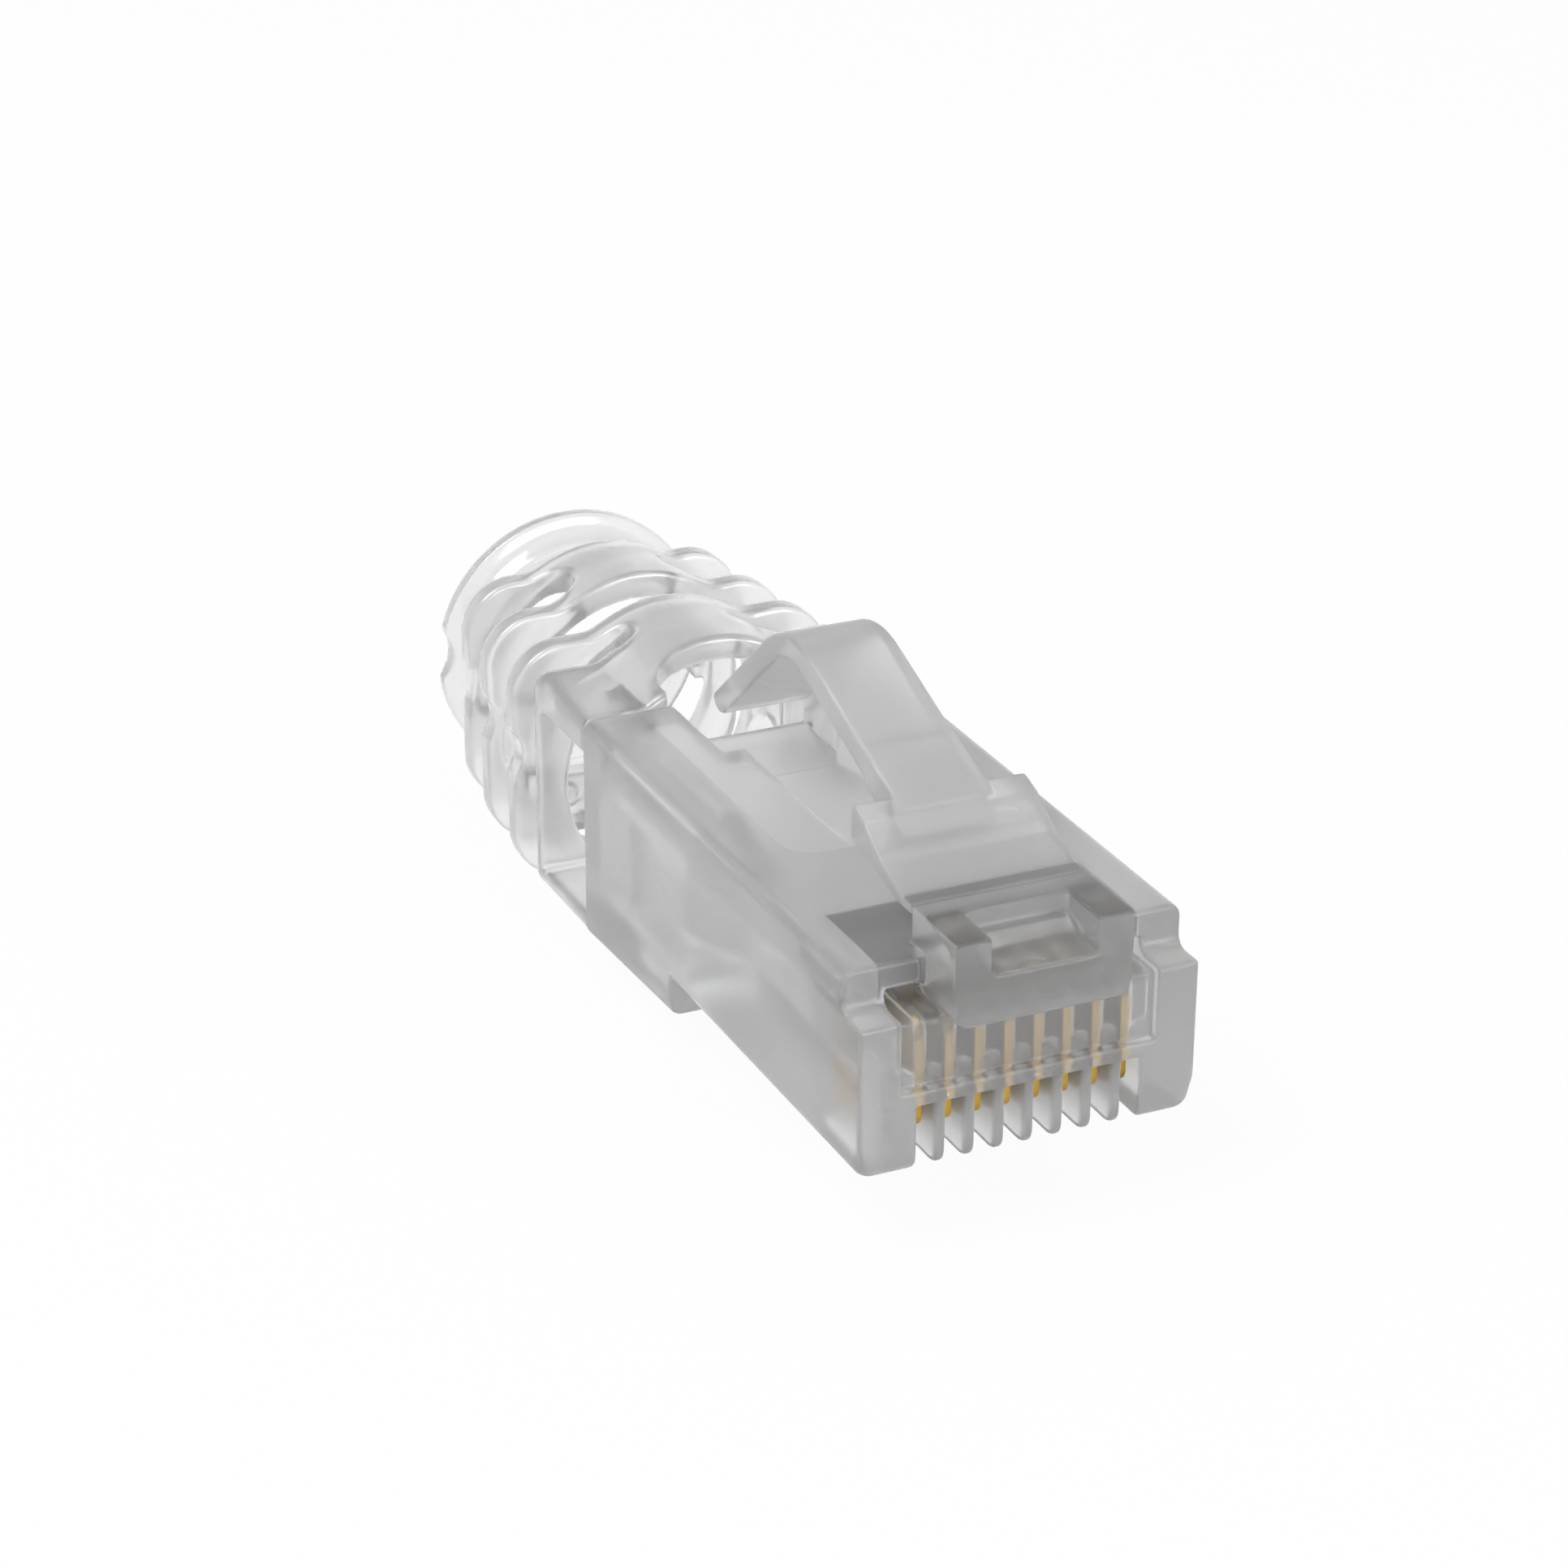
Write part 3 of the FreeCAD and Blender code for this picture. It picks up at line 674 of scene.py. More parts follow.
class Moulding:
    """A piece that is worked out on a lattice of its own."""

    def lattice(self) -> Lattice:
        """Return the lattice that holds the piece."""
        raise NotImplementedError

    def distance(self, g: Lattice) -> Array:
        """Distance to the whole piece."""
        raise NotImplementedError

    def piece(self, name: str, material: bpy.types.Material) -> bpy.types.Object:
        """Make the piece as a smooth mesh.

        Args:
            name: the piece's name.
            material: its finish.

        Returns:
            The new object, at the origin with its place in its mesh.
        """
        grid = self.lattice()
        points, faces, normals = grid.skin(self.distance(grid))
        placed = (points + Datum().shift()) * MM
        mesh = bpy.data.meshes.new(name)
        mesh.vertices.add(len(placed))
        mesh.vertices.foreach_set("co", placed.astype(np.float32).ravel())
        mesh.loops.add(faces.size)
        mesh.loops.foreach_set("vertex_index", faces.astype(np.int32).ravel())
        mesh.polygons.add(len(faces))
        mesh.polygons.foreach_set("loop_start", np.arange(0, faces.size, 4, dtype=np.int32))
        mesh.polygons.foreach_set("use_smooth", np.ones(len(faces), bool))
        mesh.update(calc_edges=True)
        mesh.normals_split_custom_set_from_vertices(normals.astype(np.float32).tolist())
        mesh.materials.append(material)
        made = bpy.data.objects.new(name, mesh)
        bpy.context.scene.collection.objects.link(made)
        LOG.info("%s: %d points, %d quads", name, len(points), len(faces))
        return made


# ---- housing and latch ------------------------------------------------------


@dataclass
class Housing(Moulding):
    """Frosted body: comb of contact slots, wire chamber, cable hole, latch block and clamp bar.

    The soft values are how far new edges are rounded: inside, at a cut, and at the block and notch.
    """

    half_w: float = 5.84
    top: float = 6.45
    length: float = 21.95
    setback: float = 1.27
    ledge: float = 5.05
    front_floor: float = -0.20
    step_y: float = 14.4
    drop: Pair = (-1.35, -1.70)
    edge_r: float = 0.45
    keel_r: float = 0.60
    brow_r: float = 0.14
    corner_r: float = 0.40
    front_wall: float = 0.60
    pitch: float = 1.016
    slot_half: float = 0.30
    slot_top: float = 2.05
    slot_back: float = 4.15
    blade_half: float = 0.17
    blade_y: Pair = (0.60, 3.57)
    blade_top: float = 4.64
    face_depth: float = 0.35
    face_floor: float = 2.60
    toe_r: float = 0.50
    toe_rise: Pair = (0.5, 1.3)
    foot_soft: float = 0.22
    soft: tuple[float, float, float] = (0.08, 0.10, 0.14)
    chamber_half: float = 4.40
    chamber_z: Pair = (3.05, 4.45)
    chamber_back: float = 8.60
    groove_r: float = 0.44
    hole_half: float = 3.85
    hole_z: Pair = (-0.75, 4.45)
    hole_r: float = 1.25
    funnel_y: float = 14.9
    funnel_floor: float = 0.65
    pocket_half: float = 4.52
    pocket_y: Pair = (1.75, 5.35)
    pocket_z: Pair = (4.80, 6.10)
    door_top: float = 5.55
    notch_half: float = 2.45
    notch_y: float = 17.65
    notch_floor: float = 4.97
    trough_half: float = 1.68
    trough_y: float = 9.70
    block_half: float = 3.05
    block_y: Pair = (-0.75, 2.30)
    block_z: Pair = (4.80, 7.70)
    block_r: float = 0.55
    window_half: float = 1.80
    window_back: float = 1.35
    window_z: Pair = (6.45, 6.95)
    clamp_half: float = 3.10
    clamp_y: Pair = (15.60, 19.40)
    clamp_gap: float = 0.45

    def lattice(self) -> Lattice:
        """Return a lattice with ten columns to a contact way, fine wherever an edge or a wall lies."""
        comb = 4.0 * self.pitch
        return Lattice(
            axis((-6.02, -5.62, 0.067), (-5.62, -5.02, 0.10), (-5.02, -4.66, 0.18), (-4.66, -comb, 0.085),
                 (-comb, comb, self.pitch / 10.0), (comb, 4.66, 0.085), (4.66, 5.02, 0.18),
                 (5.02, 5.62, 0.10), (5.62, 6.02, 0.067)),
            axis((-0.93, -0.57, 0.072), (-0.57, -0.13, 0.15), (-0.13, 0.67, 0.08), (0.67, 1.12, 0.15),
                 (1.12, 1.42, 0.075), (1.42, 1.66, 0.12), (1.66, 1.86, 0.067), (1.86, 2.16, 0.15),
                 (2.16, 2.44, 0.07), (2.44, 3.50, 0.26), (3.50, 3.64, 0.07), (3.64, 4.02, 0.19),
                 (4.02, 4.28, 0.065), (4.28, 5.22, 0.31), (5.22, 5.44, 0.073), (5.44, 8.44, 0.50),
                 (8.44, 8.74, 0.15), (8.74, 14.18, 0.54), (14.18, 14.58, 0.08), (14.58, 15.46, 0.22),
                 (15.46, 16.16, 0.116), (16.16, 17.50, 0.33), (17.50, 17.80, 0.10), (17.80, 19.24, 0.36),
                 (19.24, 19.54, 0.10), (19.54, 21.70, 0.36), (21.70, 22.06, 0.072)),
            axis((-1.90, -1.10, 0.10), (-1.10, -0.36, 0.15), (-0.36, 0.36, 0.08), (0.36, 1.96, 0.26),
                 (1.96, 2.16, 0.067), (2.16, 2.48, 0.16), (2.48, 3.28, 0.10), (3.28, 4.38, 0.27),
                 (4.38, 4.94, 0.08), (4.94, 5.62, 0.097), (5.62, 5.98, 0.12), (5.98, 6.54, 0.08),
                 (6.54, 7.06, 0.104), (7.06, 7.52, 0.23), (7.52, 7.84, 0.064)))

    def section(self, g: Lattice, z: tuple[Any, float], radii: Pair) -> Array:
        """Distance to the full width between two heights, with its own radius below and above."""
        radius = np.where(g.z < (z[0] + z[1]) / 2.0, radii[0], radii[1])
        return plate(g.x, g.z, self.half_w, z[0], z[1], radius)

    def outside(self, g: Lattice) -> Array:
        """Distance to the stepped block with its rounded long edges.

        Three lengths follow each other: the low front wall, the full height behind it, and the
        deeper rear. The front edge's radius grows from the brow's to the toe's as a smooth step
        between the two rises above the floor. The corner over the low wall is filled outside a
        circle of its radius.
        """
        along = (g.y - self.step_y) / (self.length - self.step_y)
        under = self.drop[0] + (self.drop[1] - self.drop[0]) * along
        low = self.section(g, (self.front_floor, self.ledge), (self.keel_r, self.brow_r))
        main = self.section(g, (self.front_floor, self.top), (self.keel_r, self.edge_r))
        deep = self.section(g, (under, self.top), (self.edge_r, self.edge_r))
        full, none = self.toe_rise
        t = np.clip((self.front_floor + none - g.z) / (none - full), 0.0, 1.0)
        front_r = self.brow_r + (self.toe_r - self.brow_r) * t * t * (3.0 - 2.0 * t)
        low = rounded_meet(low, span(g.y, 0.0, self.setback + 1.0), front_r)
        main = rounded_meet(main, span(g.y, self.setback, self.step_y + 1.0), self.brow_r)
        deep = rounded_meet(deep, span(g.y, self.step_y, self.length), self.brow_r)
        r = self.corner_r
        fill = r - np.hypot(g.y - (self.setback - r), g.z - (self.ledge + r))
        fill = meet(fill, meet(span(g.y, self.setback - r, self.setback + 0.2),
                               span(g.z, self.ledge - 0.2, self.ledge + r)))
        fill = rounded_meet(fill, np.abs(g.x) - self.half_w, self.brow_r)
        return join(join(join(low, main), deep), fill)

    def toe(self, g: Lattice) -> Array:
        """Distance to all that lies behind and above the rounded lower front edge."""
        below, ahead = g.z - self.front_floor - self.toe_r, g.y - self.toe_r
        return np.where((below < 0.0) & (ahead < 0.0), np.hypot(below, ahead) - self.toe_r,
                        np.maximum(-g.y, self.front_floor - g.z))

    def comb(self, g: Lattice) -> Array:
        """Distance to the seven fins, each with a full round at its foot and a rounded toe."""
        near = g.x - self.pitch * np.clip(np.round(g.x / self.pitch), -3, 3)
        r = self.pitch / 2.0 - self.slot_half
        centre = self.front_floor + r
        fin = np.where(g.z > centre, np.abs(near) - r, np.hypot(near, g.z - centre) - r)
        fin = meet(fin, self.toe(g), self.foot_soft)
        return meet(fin, g.y - (self.slot_back + 0.3))

    def way(self, g: Lattice) -> Array:
        """Return the place across the nearest contact way, from its middle."""
        return g.x - self.pitch * (np.clip(np.floor(g.x / self.pitch), -4, 3) + 0.5)

    def hole(self, g: Lattice) -> Array:
        """Distance to the inside: grooved wire chamber, funnel and cable hole.

        The funnel's half width, floor and corner radius run evenly from the chamber's to the hole's.
        """
        chamber = meet(meet(np.abs(g.x) - self.chamber_half, span(g.z, *self.chamber_z)),
                       span(g.y, self.front_wall + 0.15, self.chamber_back))
        groove = np.hypot(self.way(g), g.z - self.chamber_z[0] - 0.12) - self.groove_r
        groove = meet(groove, span(g.y, self.front_wall + 0.15, self.chamber_back))
        t = np.clip((g.y - self.chamber_back) / (self.funnel_y - self.chamber_back), 0.0, 1.0)
        half = self.chamber_half + (self.hole_half - self.chamber_half) * t
        floor = self.chamber_z[0] + (self.funnel_floor - self.chamber_z[0]) * t
        corner = 0.10 + (self.hole_r - 0.10) * t
        funnel = plate(g.x, g.z, half, floor, self.chamber_z[1], corner)
        funnel = meet(funnel, span(g.y, self.chamber_back - 0.02, self.funnel_y))
        bore = plate(g.x, g.z, self.hole_half, *self.hole_z, self.hole_r)
        bore = meet(bore, self.funnel_y - g.y)
        return join(join(join(chamber, groove, self.soft[0]), funnel), bore)

    def block(self, g: Lattice) -> Array:
        """Distance to the latch block with its scooped window.

        The scoop's floor rises as a square curve from the front lip to the back of the window.
        """
        y0, y1 = self.block_y
        solid = plate(g.x, g.z, self.block_half, *self.block_z, self.block_r)
        sharp = meet(np.abs(g.x) - self.block_half, span(g.z, *self.block_z), 0.12)
        solid = np.where(g.z > (self.block_z[0] + self.block_z[1]) / 2.0, sharp, solid)
        solid = meet(solid, span(g.y, y0, y1), self.soft[2])
        t = np.clip((g.y - y0) / (self.window_back - y0), 0.0, 1.0)
        floor = self.window_z[0] + (self.window_z[1] - self.window_z[0]) * t * t
        scoop = meet(meet(np.abs(g.x) - self.window_half, g.y - self.window_back, 0.25), floor - g.z, 0.20)
        return cut(solid, scoop, self.soft[2])

    def clamp(self, g: Lattice) -> Array:
        """Distance to the wedge bar that hangs by its web in the contact-side window."""
        y0, y1 = self.clamp_y
        roof = self.hole_z[0]
        front = np.clip((g.y - y0 - self.clamp_gap) / 0.9, 0.0, 1.0)
        back = np.clip((g.y - y0 - 1.35) / (y1 - y0 - 2.05), 0.0, 1.0)
        upper = roof - 0.65 + 1.0 * front - 0.30 * back
        lower = self.drop[0] - 0.05 - 0.25 * back
        bar = meet(meet(g.z - upper, lower - g.z), span(g.y, y0 + self.clamp_gap, y1 - 0.6), 0.10)
        web = meet(span(g.z, roof - 0.45, roof - 0.10), span(g.y, y1 - 0.9, y1 + 0.3))
        bar = join(bar, web, 0.12)
        return meet(bar, np.abs(g.x) - (self.clamp_half - self.clamp_gap), 0.10)

    def mouth(self, g: Lattice) -> Array:
        """Distance to the moulding pocket, its low door and the set-back face under the door."""
        low = self.pocket_z[0]
        inside = meet(np.abs(g.x) - self.pocket_half, span(g.z, *self.pocket_z))
        pocket = meet(inside, span(g.y, *self.pocket_y))
        between = np.abs(g.x) - self.chamber_half
        door = meet(meet(between, g.y - self.pocket_y[0] - 0.05), span(g.z, low, self.door_top))
        face = meet(meet(between, g.y - self.face_depth), span(g.z, self.face_floor, low + 0.1))
        return join(join(pocket, door), face)

    def notch(self, g: Lattice, solid: Array) -> Array:
        """Cut the rear notch, and the trough that ramps down into it, out of a solid."""
        notch = meet(meet(np.abs(g.x) - self.notch_half, self.notch_y - g.y), self.notch_floor - g.z)
        end = self.notch_y + 0.1
        rise = (g.y - self.trough_y) / (end - self.trough_y)
        floor = self.top + (self.notch_floor + 0.25 - self.top) * rise
        ramp = meet(meet(np.abs(g.x) - self.trough_half, floor - g.z), span(g.y, self.trough_y, end))
        return cut(cut(solid, notch, self.soft[2]), ramp, self.soft[2])

    def room(self, g: Lattice) -> Array:
        """Distance to the open comb's room, which flares by a quarter round at its lower corners."""
        r = self.pitch / 2.0 - self.slot_half
        edge = 4.0 * self.pitch - r
        side, height = np.abs(g.x) - edge - r, g.z - self.front_floor - r
        flare = meet(r - np.hypot(side, height), np.maximum(side, height))
        room = meet(join(np.abs(g.x) - edge, flare), g.z - self.slot_top)
        return meet(room, g.y - self.slot_back)

    def distance(self, g: Lattice) -> Array:
        """Distance to the whole housing."""
        inner, sharp, wide = self.soft
        solid = cut(self.outside(g), self.mouth(g), sharp)
        solid = self.notch(g, cut(solid, self.hole(g), inner))
        window = meet(np.abs(g.x) - self.clamp_half, span(g.y, *self.clamp_y))
        solid = cut(solid, meet(window, g.z - self.hole_z[0] - 0.3), sharp)
        solid = join(join(solid, self.block(g), wide), self.clamp(g))
        solid = cut(solid, self.room(g), sharp)
        solid = join(solid, meet(self.comb(g), g.z - self.slot_top - 0.1))
        grip = meet(np.abs(self.way(g)) - self.blade_half, span(g.y, *self.blade_y))
        return cut(solid, meet(grip, g.z - self.blade_top))

    def build(self, material: bpy.types.Material) -> bpy.types.Object:
        """Make the housing, put it in place of the plain one and fix it to the plug."""
        piece = self.piece("frosted_housing", material)
        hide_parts("housing")
        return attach(piece, "plug")


@dataclass
class Latch(Moulding):
    """Frosted latch arm: thin at the block, thick at the shoulders, tab folded back down."""

    half_w: float = 3.05
    front: float = 2.36
    top: tuple[Pair, ...] = ((2.31, 7.70), (2.95, 7.70), (4.37, 8.17), (5.72, 9.00), (6.60, 9.27))
    under: tuple[Pair, ...] = ((2.31, 7.35), (3.20, 7.35), (4.30, 7.62), (5.30, 7.92), (6.60, 8.02))
    tab_half: float = 1.625
    tab_t: float = 0.90
    slope: float = 19.8
    bend_y: float = 14.72
    bend_soft: Pair = (1.9, 1.0)
    tip: Pair = (20.40, 6.80)
    tip_rise: float = 0.58
    root_back: float = 8.60

    def lattice(self) -> Lattice:
        """Return the lattice that holds the latch."""
        return Lattice(
            axis((-3.2, -2.8, 0.08), (-2.8, -1.85, 0.2), (-1.85, -1.3, 0.07), (-1.3, 1.3, 0.16),
                 (1.3, 1.85, 0.07), (1.85, 2.8, 0.2), (2.8, 3.2, 0.08)),
            axis((2.15, 7.0, 0.075), (7.0, 12.8, 0.14), (12.8, 20.6, 0.08)),
            axis((6.55, 12.25, 0.075)))

    def arm(self, g: Lattice) -> Array:
        """Distance to the wide arm between its upper and lower outlines."""
        upper = np.interp(g.ys, *zip(*self.top))[None, :, None]
        lower = np.interp(g.ys, *zip(*self.under))[None, :, None]
        solid = meet((g.z - upper) * 0.9, (lower - g.z) * 0.97, 0.08)
        solid = meet(solid, g.y - self.top[-1][0], 0.10)
        solid = meet(solid, self.front - g.y)
        return meet(solid, np.abs(g.x) - self.half_w, 0.12)

    def over(self, g: Lattice, a: Pair, b: Pair) -> Array:
        """Return how far a place lies over the line from a to b, square to it."""
        length = math.dist(a, b)
        uy, uz = (b[0] - a[0]) / length, (b[1] - a[1]) / length
        return (g.z - a[1]) * uy - (g.y - a[0]) * uz

    def tab(self, g: Lattice) -> Array:
        """Distance to the folded tab: the rising part and the hook, joined round the bend."""
        y_sh, z_sh = self.top[-1]
        bend = (self.bend_y, z_sh + math.tan(math.radians(self.slope)) * (self.bend_y - y_sh))
        rising = self.over(g, (y_sh, z_sh), bend)
        falling = self.over(g, bend, (self.tip[0], self.tip[1] + self.tip_rise))
        outer = meet(rising, falling, self.bend_soft[0])
        inner = meet(rising + self.tab_t, falling + self.tab_t, self.bend_soft[1])
        bent = meet(meet(outer, -inner), y_sh - 0.6 - g.y)
        lean = (self.tip[0] - g.y) * 0.93 + (g.z - self.tip[1]) * 0.37
        bent = meet(bent, meet(0.05 - lean, self.tip[1] - g.z, 0.45), 0.18)
        under = z_sh - 1.25 + (g.y - y_sh) * 0.42 - g.z
        root = meet(span(g.y, y_sh - 0.7, self.root_back), meet(rising, under), 0.1)
        return meet(join(bent, root, 0.35), np.abs(g.x) - self.tab_half, 0.14)

    def distance(self, g: Lattice) -> Array:
        """Distance to the whole latch."""
        return join(self.arm(g), self.tab(g), 0.06)

    def build(self, material: bpy.types.Material) -> bpy.types.Object:
        """Make the latch, put it in place of the plain one and fix it to the arm."""
        piece = self.piece("frosted_latch", material)
        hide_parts("latch")
        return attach(piece, "latch_arm")


# ---- boot -------------------------------------------------------------------


@dataclass
class Boot(Moulding):
    """Clear slide-on boot: collar, domed tube, three ribs, alternate bending gaps, end flange."""

    body_len: float = 21.95
    half_w: float = 5.84
    axis_z: float = 2.05
    collar_y: float = 26.50
    collar_z: Pair = (-1.70, 6.45)
    collar_wall_z: Pair = (-0.95, 5.20)
    collar_wall_y: float = 26.05
    collar_r: float = 0.55
    tube_r: Pair = (5.65, 5.30)
    wall: float = 0.80
    tube_top: float = 6.35
    dome_r: Pair = (4.60, 4.42)
    dome_z: float = 3.18
    floor: float = -2.20
    rib_back: tuple[float, ...] = (28.70, 31.87, 35.04)
    rib_half: tuple[float, ...] = (6.11, 5.89, 5.41)
    rib_z: tuple[Pair, ...] = ((-2.25, 6.77), (-2.17, 6.65), (-2.06, 6.70))
    rib_t: float = 1.00
    rib_r: float = 1.90
    rib_edge: float = 0.20
    bridge_half: float = 1.75
    bridge_z: Pair = (1.55, 3.95)
    flute: tuple[float, float, float] = (2.85, 1.60, 0.32)
    flange_flute: Pair = (2.20, 0.50)
    u_half: float = 2.60
    u_back: float = 23.95
    u_r: float = 1.20
    flange_r: float = 5.32
    flange_z: float = 2.40
    flange_y: Pair = (36.60, 38.10)
    neck_r: float = 4.35
    bore_r: float = 3.10
    cheek_x: Pair = (2.95, 3.65)
    tongue_y: float = 19.40
    tongue_z: Pair = (0.20, 3.50)

    def lattice(self) -> Lattice:
        """Return the lattice that holds the boot."""
        return Lattice(
            axis((-6.30, 6.30, 0.116)),
            axis((19.25, 21.80, 0.25), (21.80, 22.20, 0.10), (22.20, 24.90, 0.18), (24.90, 26.40, 0.13),
                 (26.40, 36.90, 0.105), (36.90, 38.30, 0.10)),
            axis((-3.10, 7.94, 0.116)))

    def taper(self, y: Array, ends: Pair) -> Array:
        """Return a size that runs evenly from the collar's front to the last rib."""
        t = np.clip((y - self.body_len) / (self.rib_back[-1] - self.body_len), 0.0, 1.2)
        return ends[0] + (ends[1] - ends[0]) * t

    def tube(self, g: Lattice) -> Array:
        """Distance to the tube: a tapered round cut flat above and below, with the arch on top."""
        run = span(g.y, self.body_len, self.rib_back[-1] - 0.2)
        round_ = np.hypot(g.x, g.z - self.axis_z) - self.taper(g.y, self.tube_r)
        flat = meet(round_, span(g.z, self.floor, self.tube_top), 0.5)
        arch = np.hypot(g.x, g.z - self.dome_z) - self.taper(g.y, self.dome_r)
        arch = meet(arch, self.dome_z - 0.6 - g.z)
        return meet(join(flat, arch, 0.9), run, 0.3)

    def fluted(self, g: Lattice, solid: Array, half: float, height: float, depth: float) -> Array:
        """Cut a shallow round flute of the height and depth in both sides of a solid."""
        r = (height * height / 4.0 + depth * depth) / (2.0 * depth)
        tool = np.hypot(np.abs(g.x) - (half - depth + r), g.z - self.flute[0]) - r
        return cut(solid, tool, 0.12)

    def rib(self, g: Lattice, i: int) -> Array:
        """Distance to one rib: a rounded square with soft rims and a flute in each side."""
        outline = plate(g.x, g.z, self.rib_half[i], *self.rib_z[i], self.rib_r)
        thick = span(g.y, self.rib_back[i] - self.rib_t, self.rib_back[i])
        solid = rounded_meet(outline, thick, self.rib_edge)
        return self.fluted(g, solid, self.rib_half[i], self.flute[1], self.flute[2])

    def flange(self, g: Lattice) -> Array:
        """Distance to the neck and the bell-shaped end flange.

        The bell's radius grows as a quarter round from the neck to the rim.
        """
        rho = np.hypot(g.x, g.z - self.flange_z)
        y1, y2 = self.flange_y
        start = self.rib_back[-1] - 0.3
        lead = np.clip((g.y - start) / (y1 - 0.35 - start), 0.0, 1.0)
        neck = (self.tube_r[1] - 0.35) * (1.0 - lead) + self.neck_r * lead
        t = np.clip((g.y - (y1 - 0.35)) / 1.15, 0.0, 1.0)
        bell = (self.flange_r - self.neck_r) * (1.0 - np.sqrt(np.maximum(1.0 - t * t, 0.0)))
        steep = np.sqrt(1.0 + (t * 1.4) ** 2)
        solid = meet((rho - neck - bell) / steep, rho - self.flange_r, 0.15)
        solid = meet(solid, span(g.y, start, y2), 0.30)
        return self.fluted(g, solid, self.flange_r, *self.flange_flute)

    def bore(self, g: Lattice) -> Array:
        """Distance to the inside: a wide flat-floored room that closes down to the cable bore."""
        last = self.rib_back[-1]
        wide = np.hypot(g.x, g.z - self.axis_z) - (self.taper(g.y, self.tube_r) - self.wall)
        wide = meet(wide, self.floor + self.wall - g.z, 0.5)
        wide = meet(wide, g.y - last)
        rho = np.hypot(g.x, g.z - self.flange_z)
        end = self.flange_y[0] - 0.1
        t = np.clip((g.y - last) / (end - last), 0.0, 1.0)
        size = (self.tube_r[1] - self.wall - 0.35) * (1.0 - t) + self.bore_r * t
        return join(wide, meet(rho - size, last - 0.05 - g.y), 0.2)

    def gap(self, reach: Array, g: Lattice, y0: float, y1: float) -> Array:
        """Distance to a gap from y0 to y1 with a round end, given how far a place lies short of it."""
        r = (y1 - y0) / 2.0
        return np.hypot(np.maximum(reach + r, 0.0), g.y - (y0 + y1) / 2.0) - r

    def gaps(self, g: Lattice) -> Array:
        """Distance to the bending gaps, which lie beside, over and under, beside, then over and under."""
        sides = self.bridge_half - np.abs(g.x)
        tops = np.minimum(self.bridge_z[1] - g.z, g.z - self.bridge_z[0])
        starts = (self.collar_y, *self.rib_back)
        ends = (*(back - self.rib_t for back in self.rib_back), self.flange_y[0])
        found = [self.gap(reach, g, *run) for reach, run in zip((sides, tops) * 2, zip(starts, ends))]
        return np.minimum.reduce(np.broadcast_arrays(*found))

    def collar(self, g: Lattice) -> Array:
        """Distance to the collar's two plates and its two cheeks."""
        shell = plate(g.x, g.z, self.half_w, *self.collar_z, self.collar_r)
        shell = meet(shell, span(g.y, self.body_len + 0.02, self.collar_y), 0.12)
        room = meet(span(g.z, *self.collar_wall_z), g.y - self.collar_wall_y, 0.3)
        shell = cut(shell, room, 0.18)
        cheek = span(np.abs(g.x), *self.cheek_x)
        inner = meet(meet(cheek, span(g.y, self.body_len, self.collar_y)),
                     span(g.z, self.collar_wall_z[0] - 0.2, self.collar_wall_z[1] + 0.2))
        tongue = meet(meet(cheek, span(g.y, self.tongue_y, self.body_len + 0.2)),
                      span(g.z, *self.tongue_z), 0.12)
        return join(join(shell, inner, 0.15), tongue)

    def distance(self, g: Lattice) -> Array:
        """Distance to the whole boot."""
        bore = self.bore(g)
        wall = plate(g.x, g.z, self.half_w, *self.collar_z, self.collar_r)
        wall = meet(wall, span(g.y, self.collar_wall_y, self.collar_y), 0.12)
        solid = join(self.tube(g), wall, 0.25)
        for i in range(len(self.rib_back)):
            solid = join(solid, self.rib(g, i), 0.14)
        solid = join(solid, self.flange(g), 0.25)
        solid = cut(solid, bore, 0.15)
        sides = meet(meet(2.84 - np.abs(g.x), g.y - self.collar_wall_y), span(g.z, *self.collar_wall_z))
        under = meet(g.z - self.collar_z[0], g.y - self.collar_y)
        solid = cut(cut(solid, sides, 0.15), under)
        inside = meet(np.abs(g.x) - self.cheek_x[0], self.collar_wall_z[1] - 0.1 - g.z)
        inside = meet(bore, join(inside, self.collar_y - 1.45 - g.y))
        solid = join(solid, cut(self.collar(g), inside, 0.12), 0.06)
        solid = cut(solid, self.gaps(g), 0.16)
        u = plate(g.x, g.y, self.u_half, self.body_len - 3.0, self.u_back, self.u_r)
        return cut(solid, meet(u, self.collar_wall_z[1] - 0.3 - g.z), 0.16)

    def build(self, material: bpy.types.Material) -> bpy.types.Object:
        """Make the boot, put it in place of the plain one and fix it to the plug."""
        piece = self.piece("clear_boot", material)
        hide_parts("boot")
        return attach(piece, "plug")


# ---- the plug ---------------------------------------------------------------


@dataclass
class Plug:
    """The carried pieces and their finishes."""

    nodes: dict[str, bpy.types.Object] = field(default_factory=lambda: frame["nodes"])

    def dress(self, name: str, material: bpy.types.Material) -> None:
        """Give one carried piece its finish."""
        piece = self.nodes[name]
        piece.data.materials.clear()
        piece.data.materials.append(material)

    def build(self) -> None:
        """Dress every carried piece."""
        makers = {Finish.FROSTED: FrostedPlastic(), Finish.CLEAR: ClearPlastic(), Finish.GOLD: GoldPlate()}
        materials = {finish: maker.make() for finish, maker in makers.items()}
        for name in self.nodes:
            self.dress(name, materials[Finish.of(name)])
            LOG.info("dressed %s", name)
        Housing().build(materials[Finish.FROSTED])
        Latch().build(materials[Finish.FROSTED])
        Boot().build(materials[Finish.CLEAR])


def write_sizes() -> None:
    """Bring the scene's placements up to date."""
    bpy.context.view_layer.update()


def main() -> None:
    """Build the studio and the plug."""
    logging.basicConfig(level=logging.INFO, format="%(message)s")
    Studio().build()
    Plug().build()
    write_sizes()


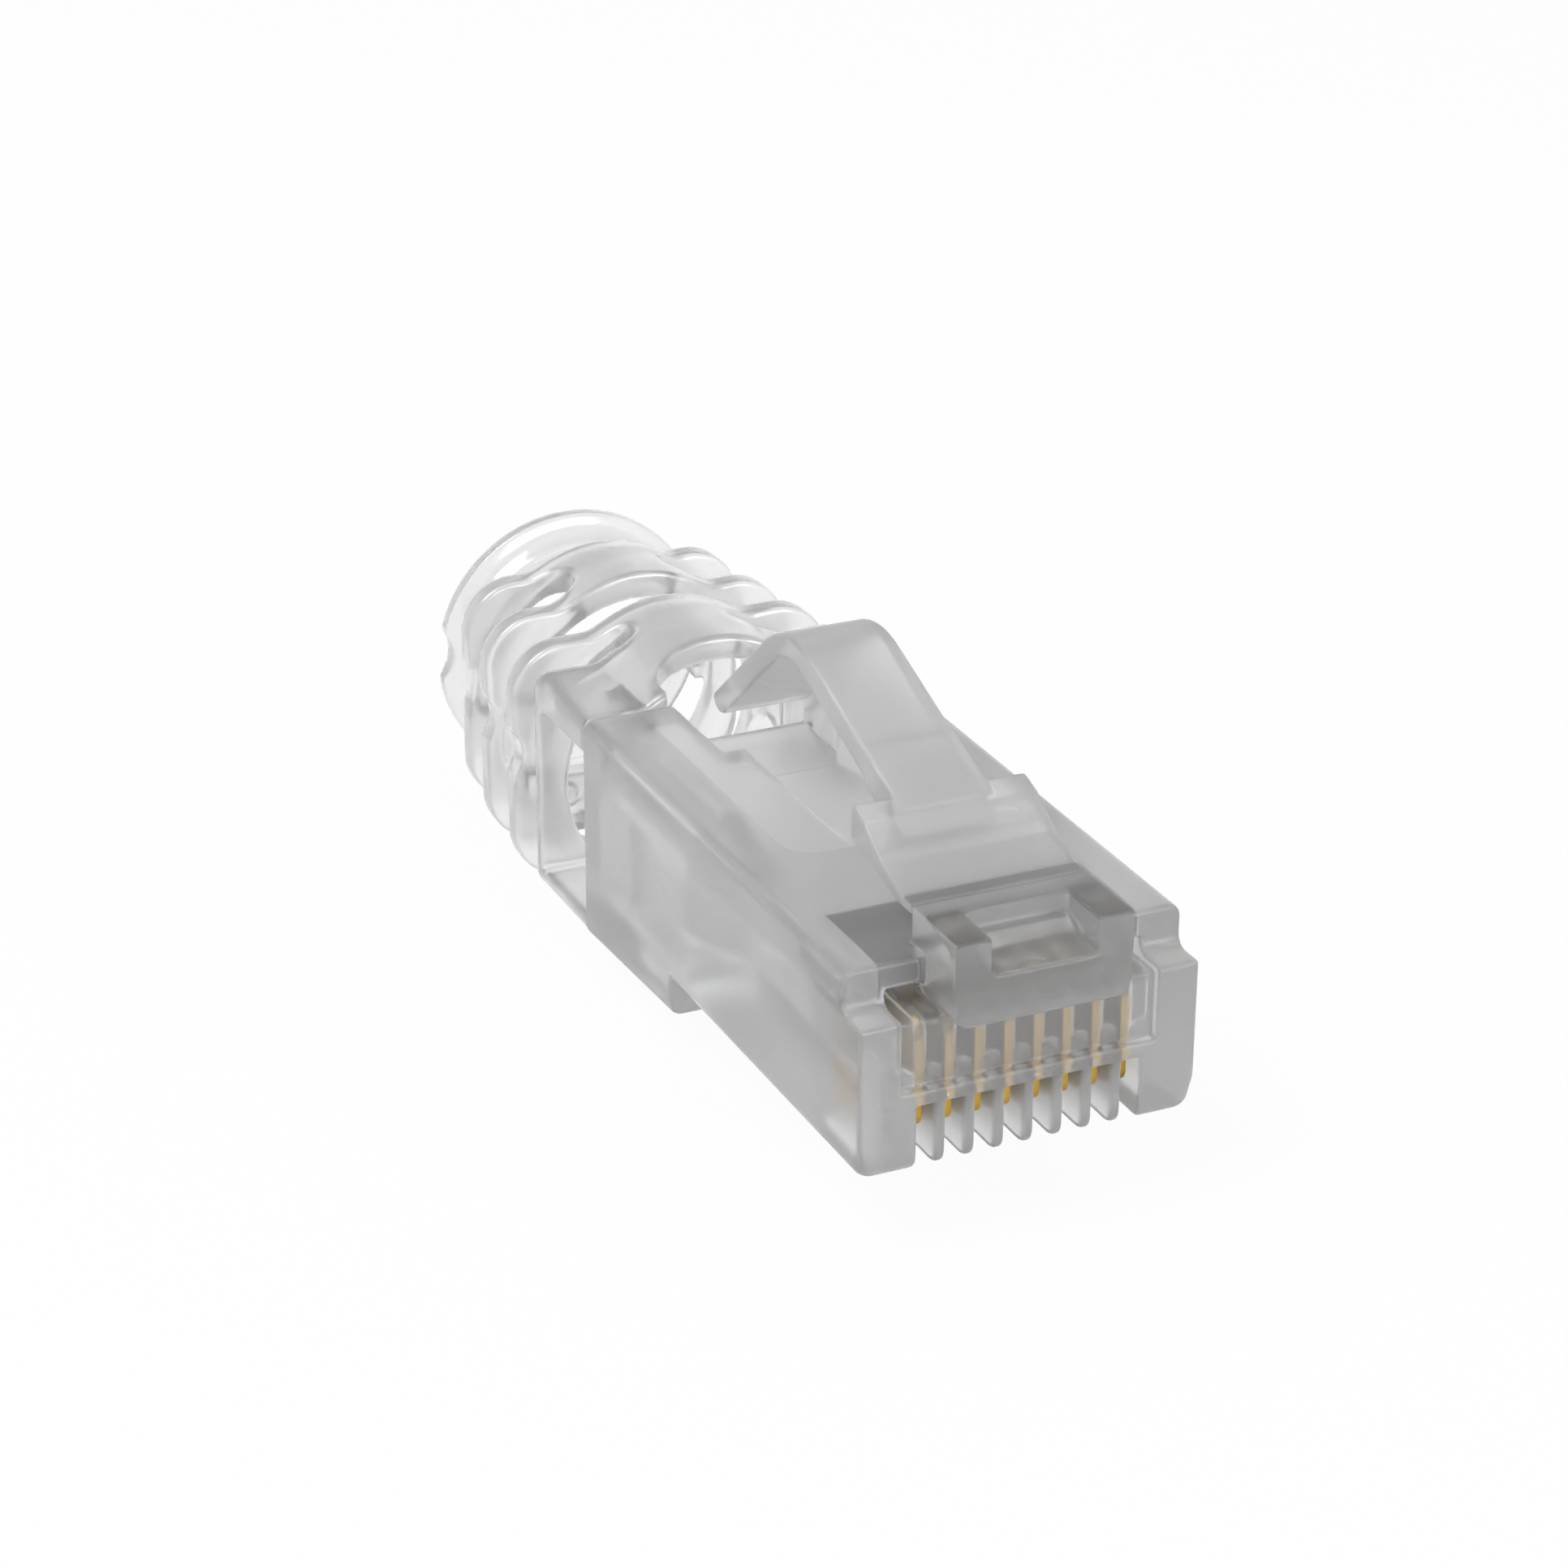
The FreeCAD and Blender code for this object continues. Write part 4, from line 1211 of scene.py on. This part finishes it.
if __name__ == "__main__":
    main()
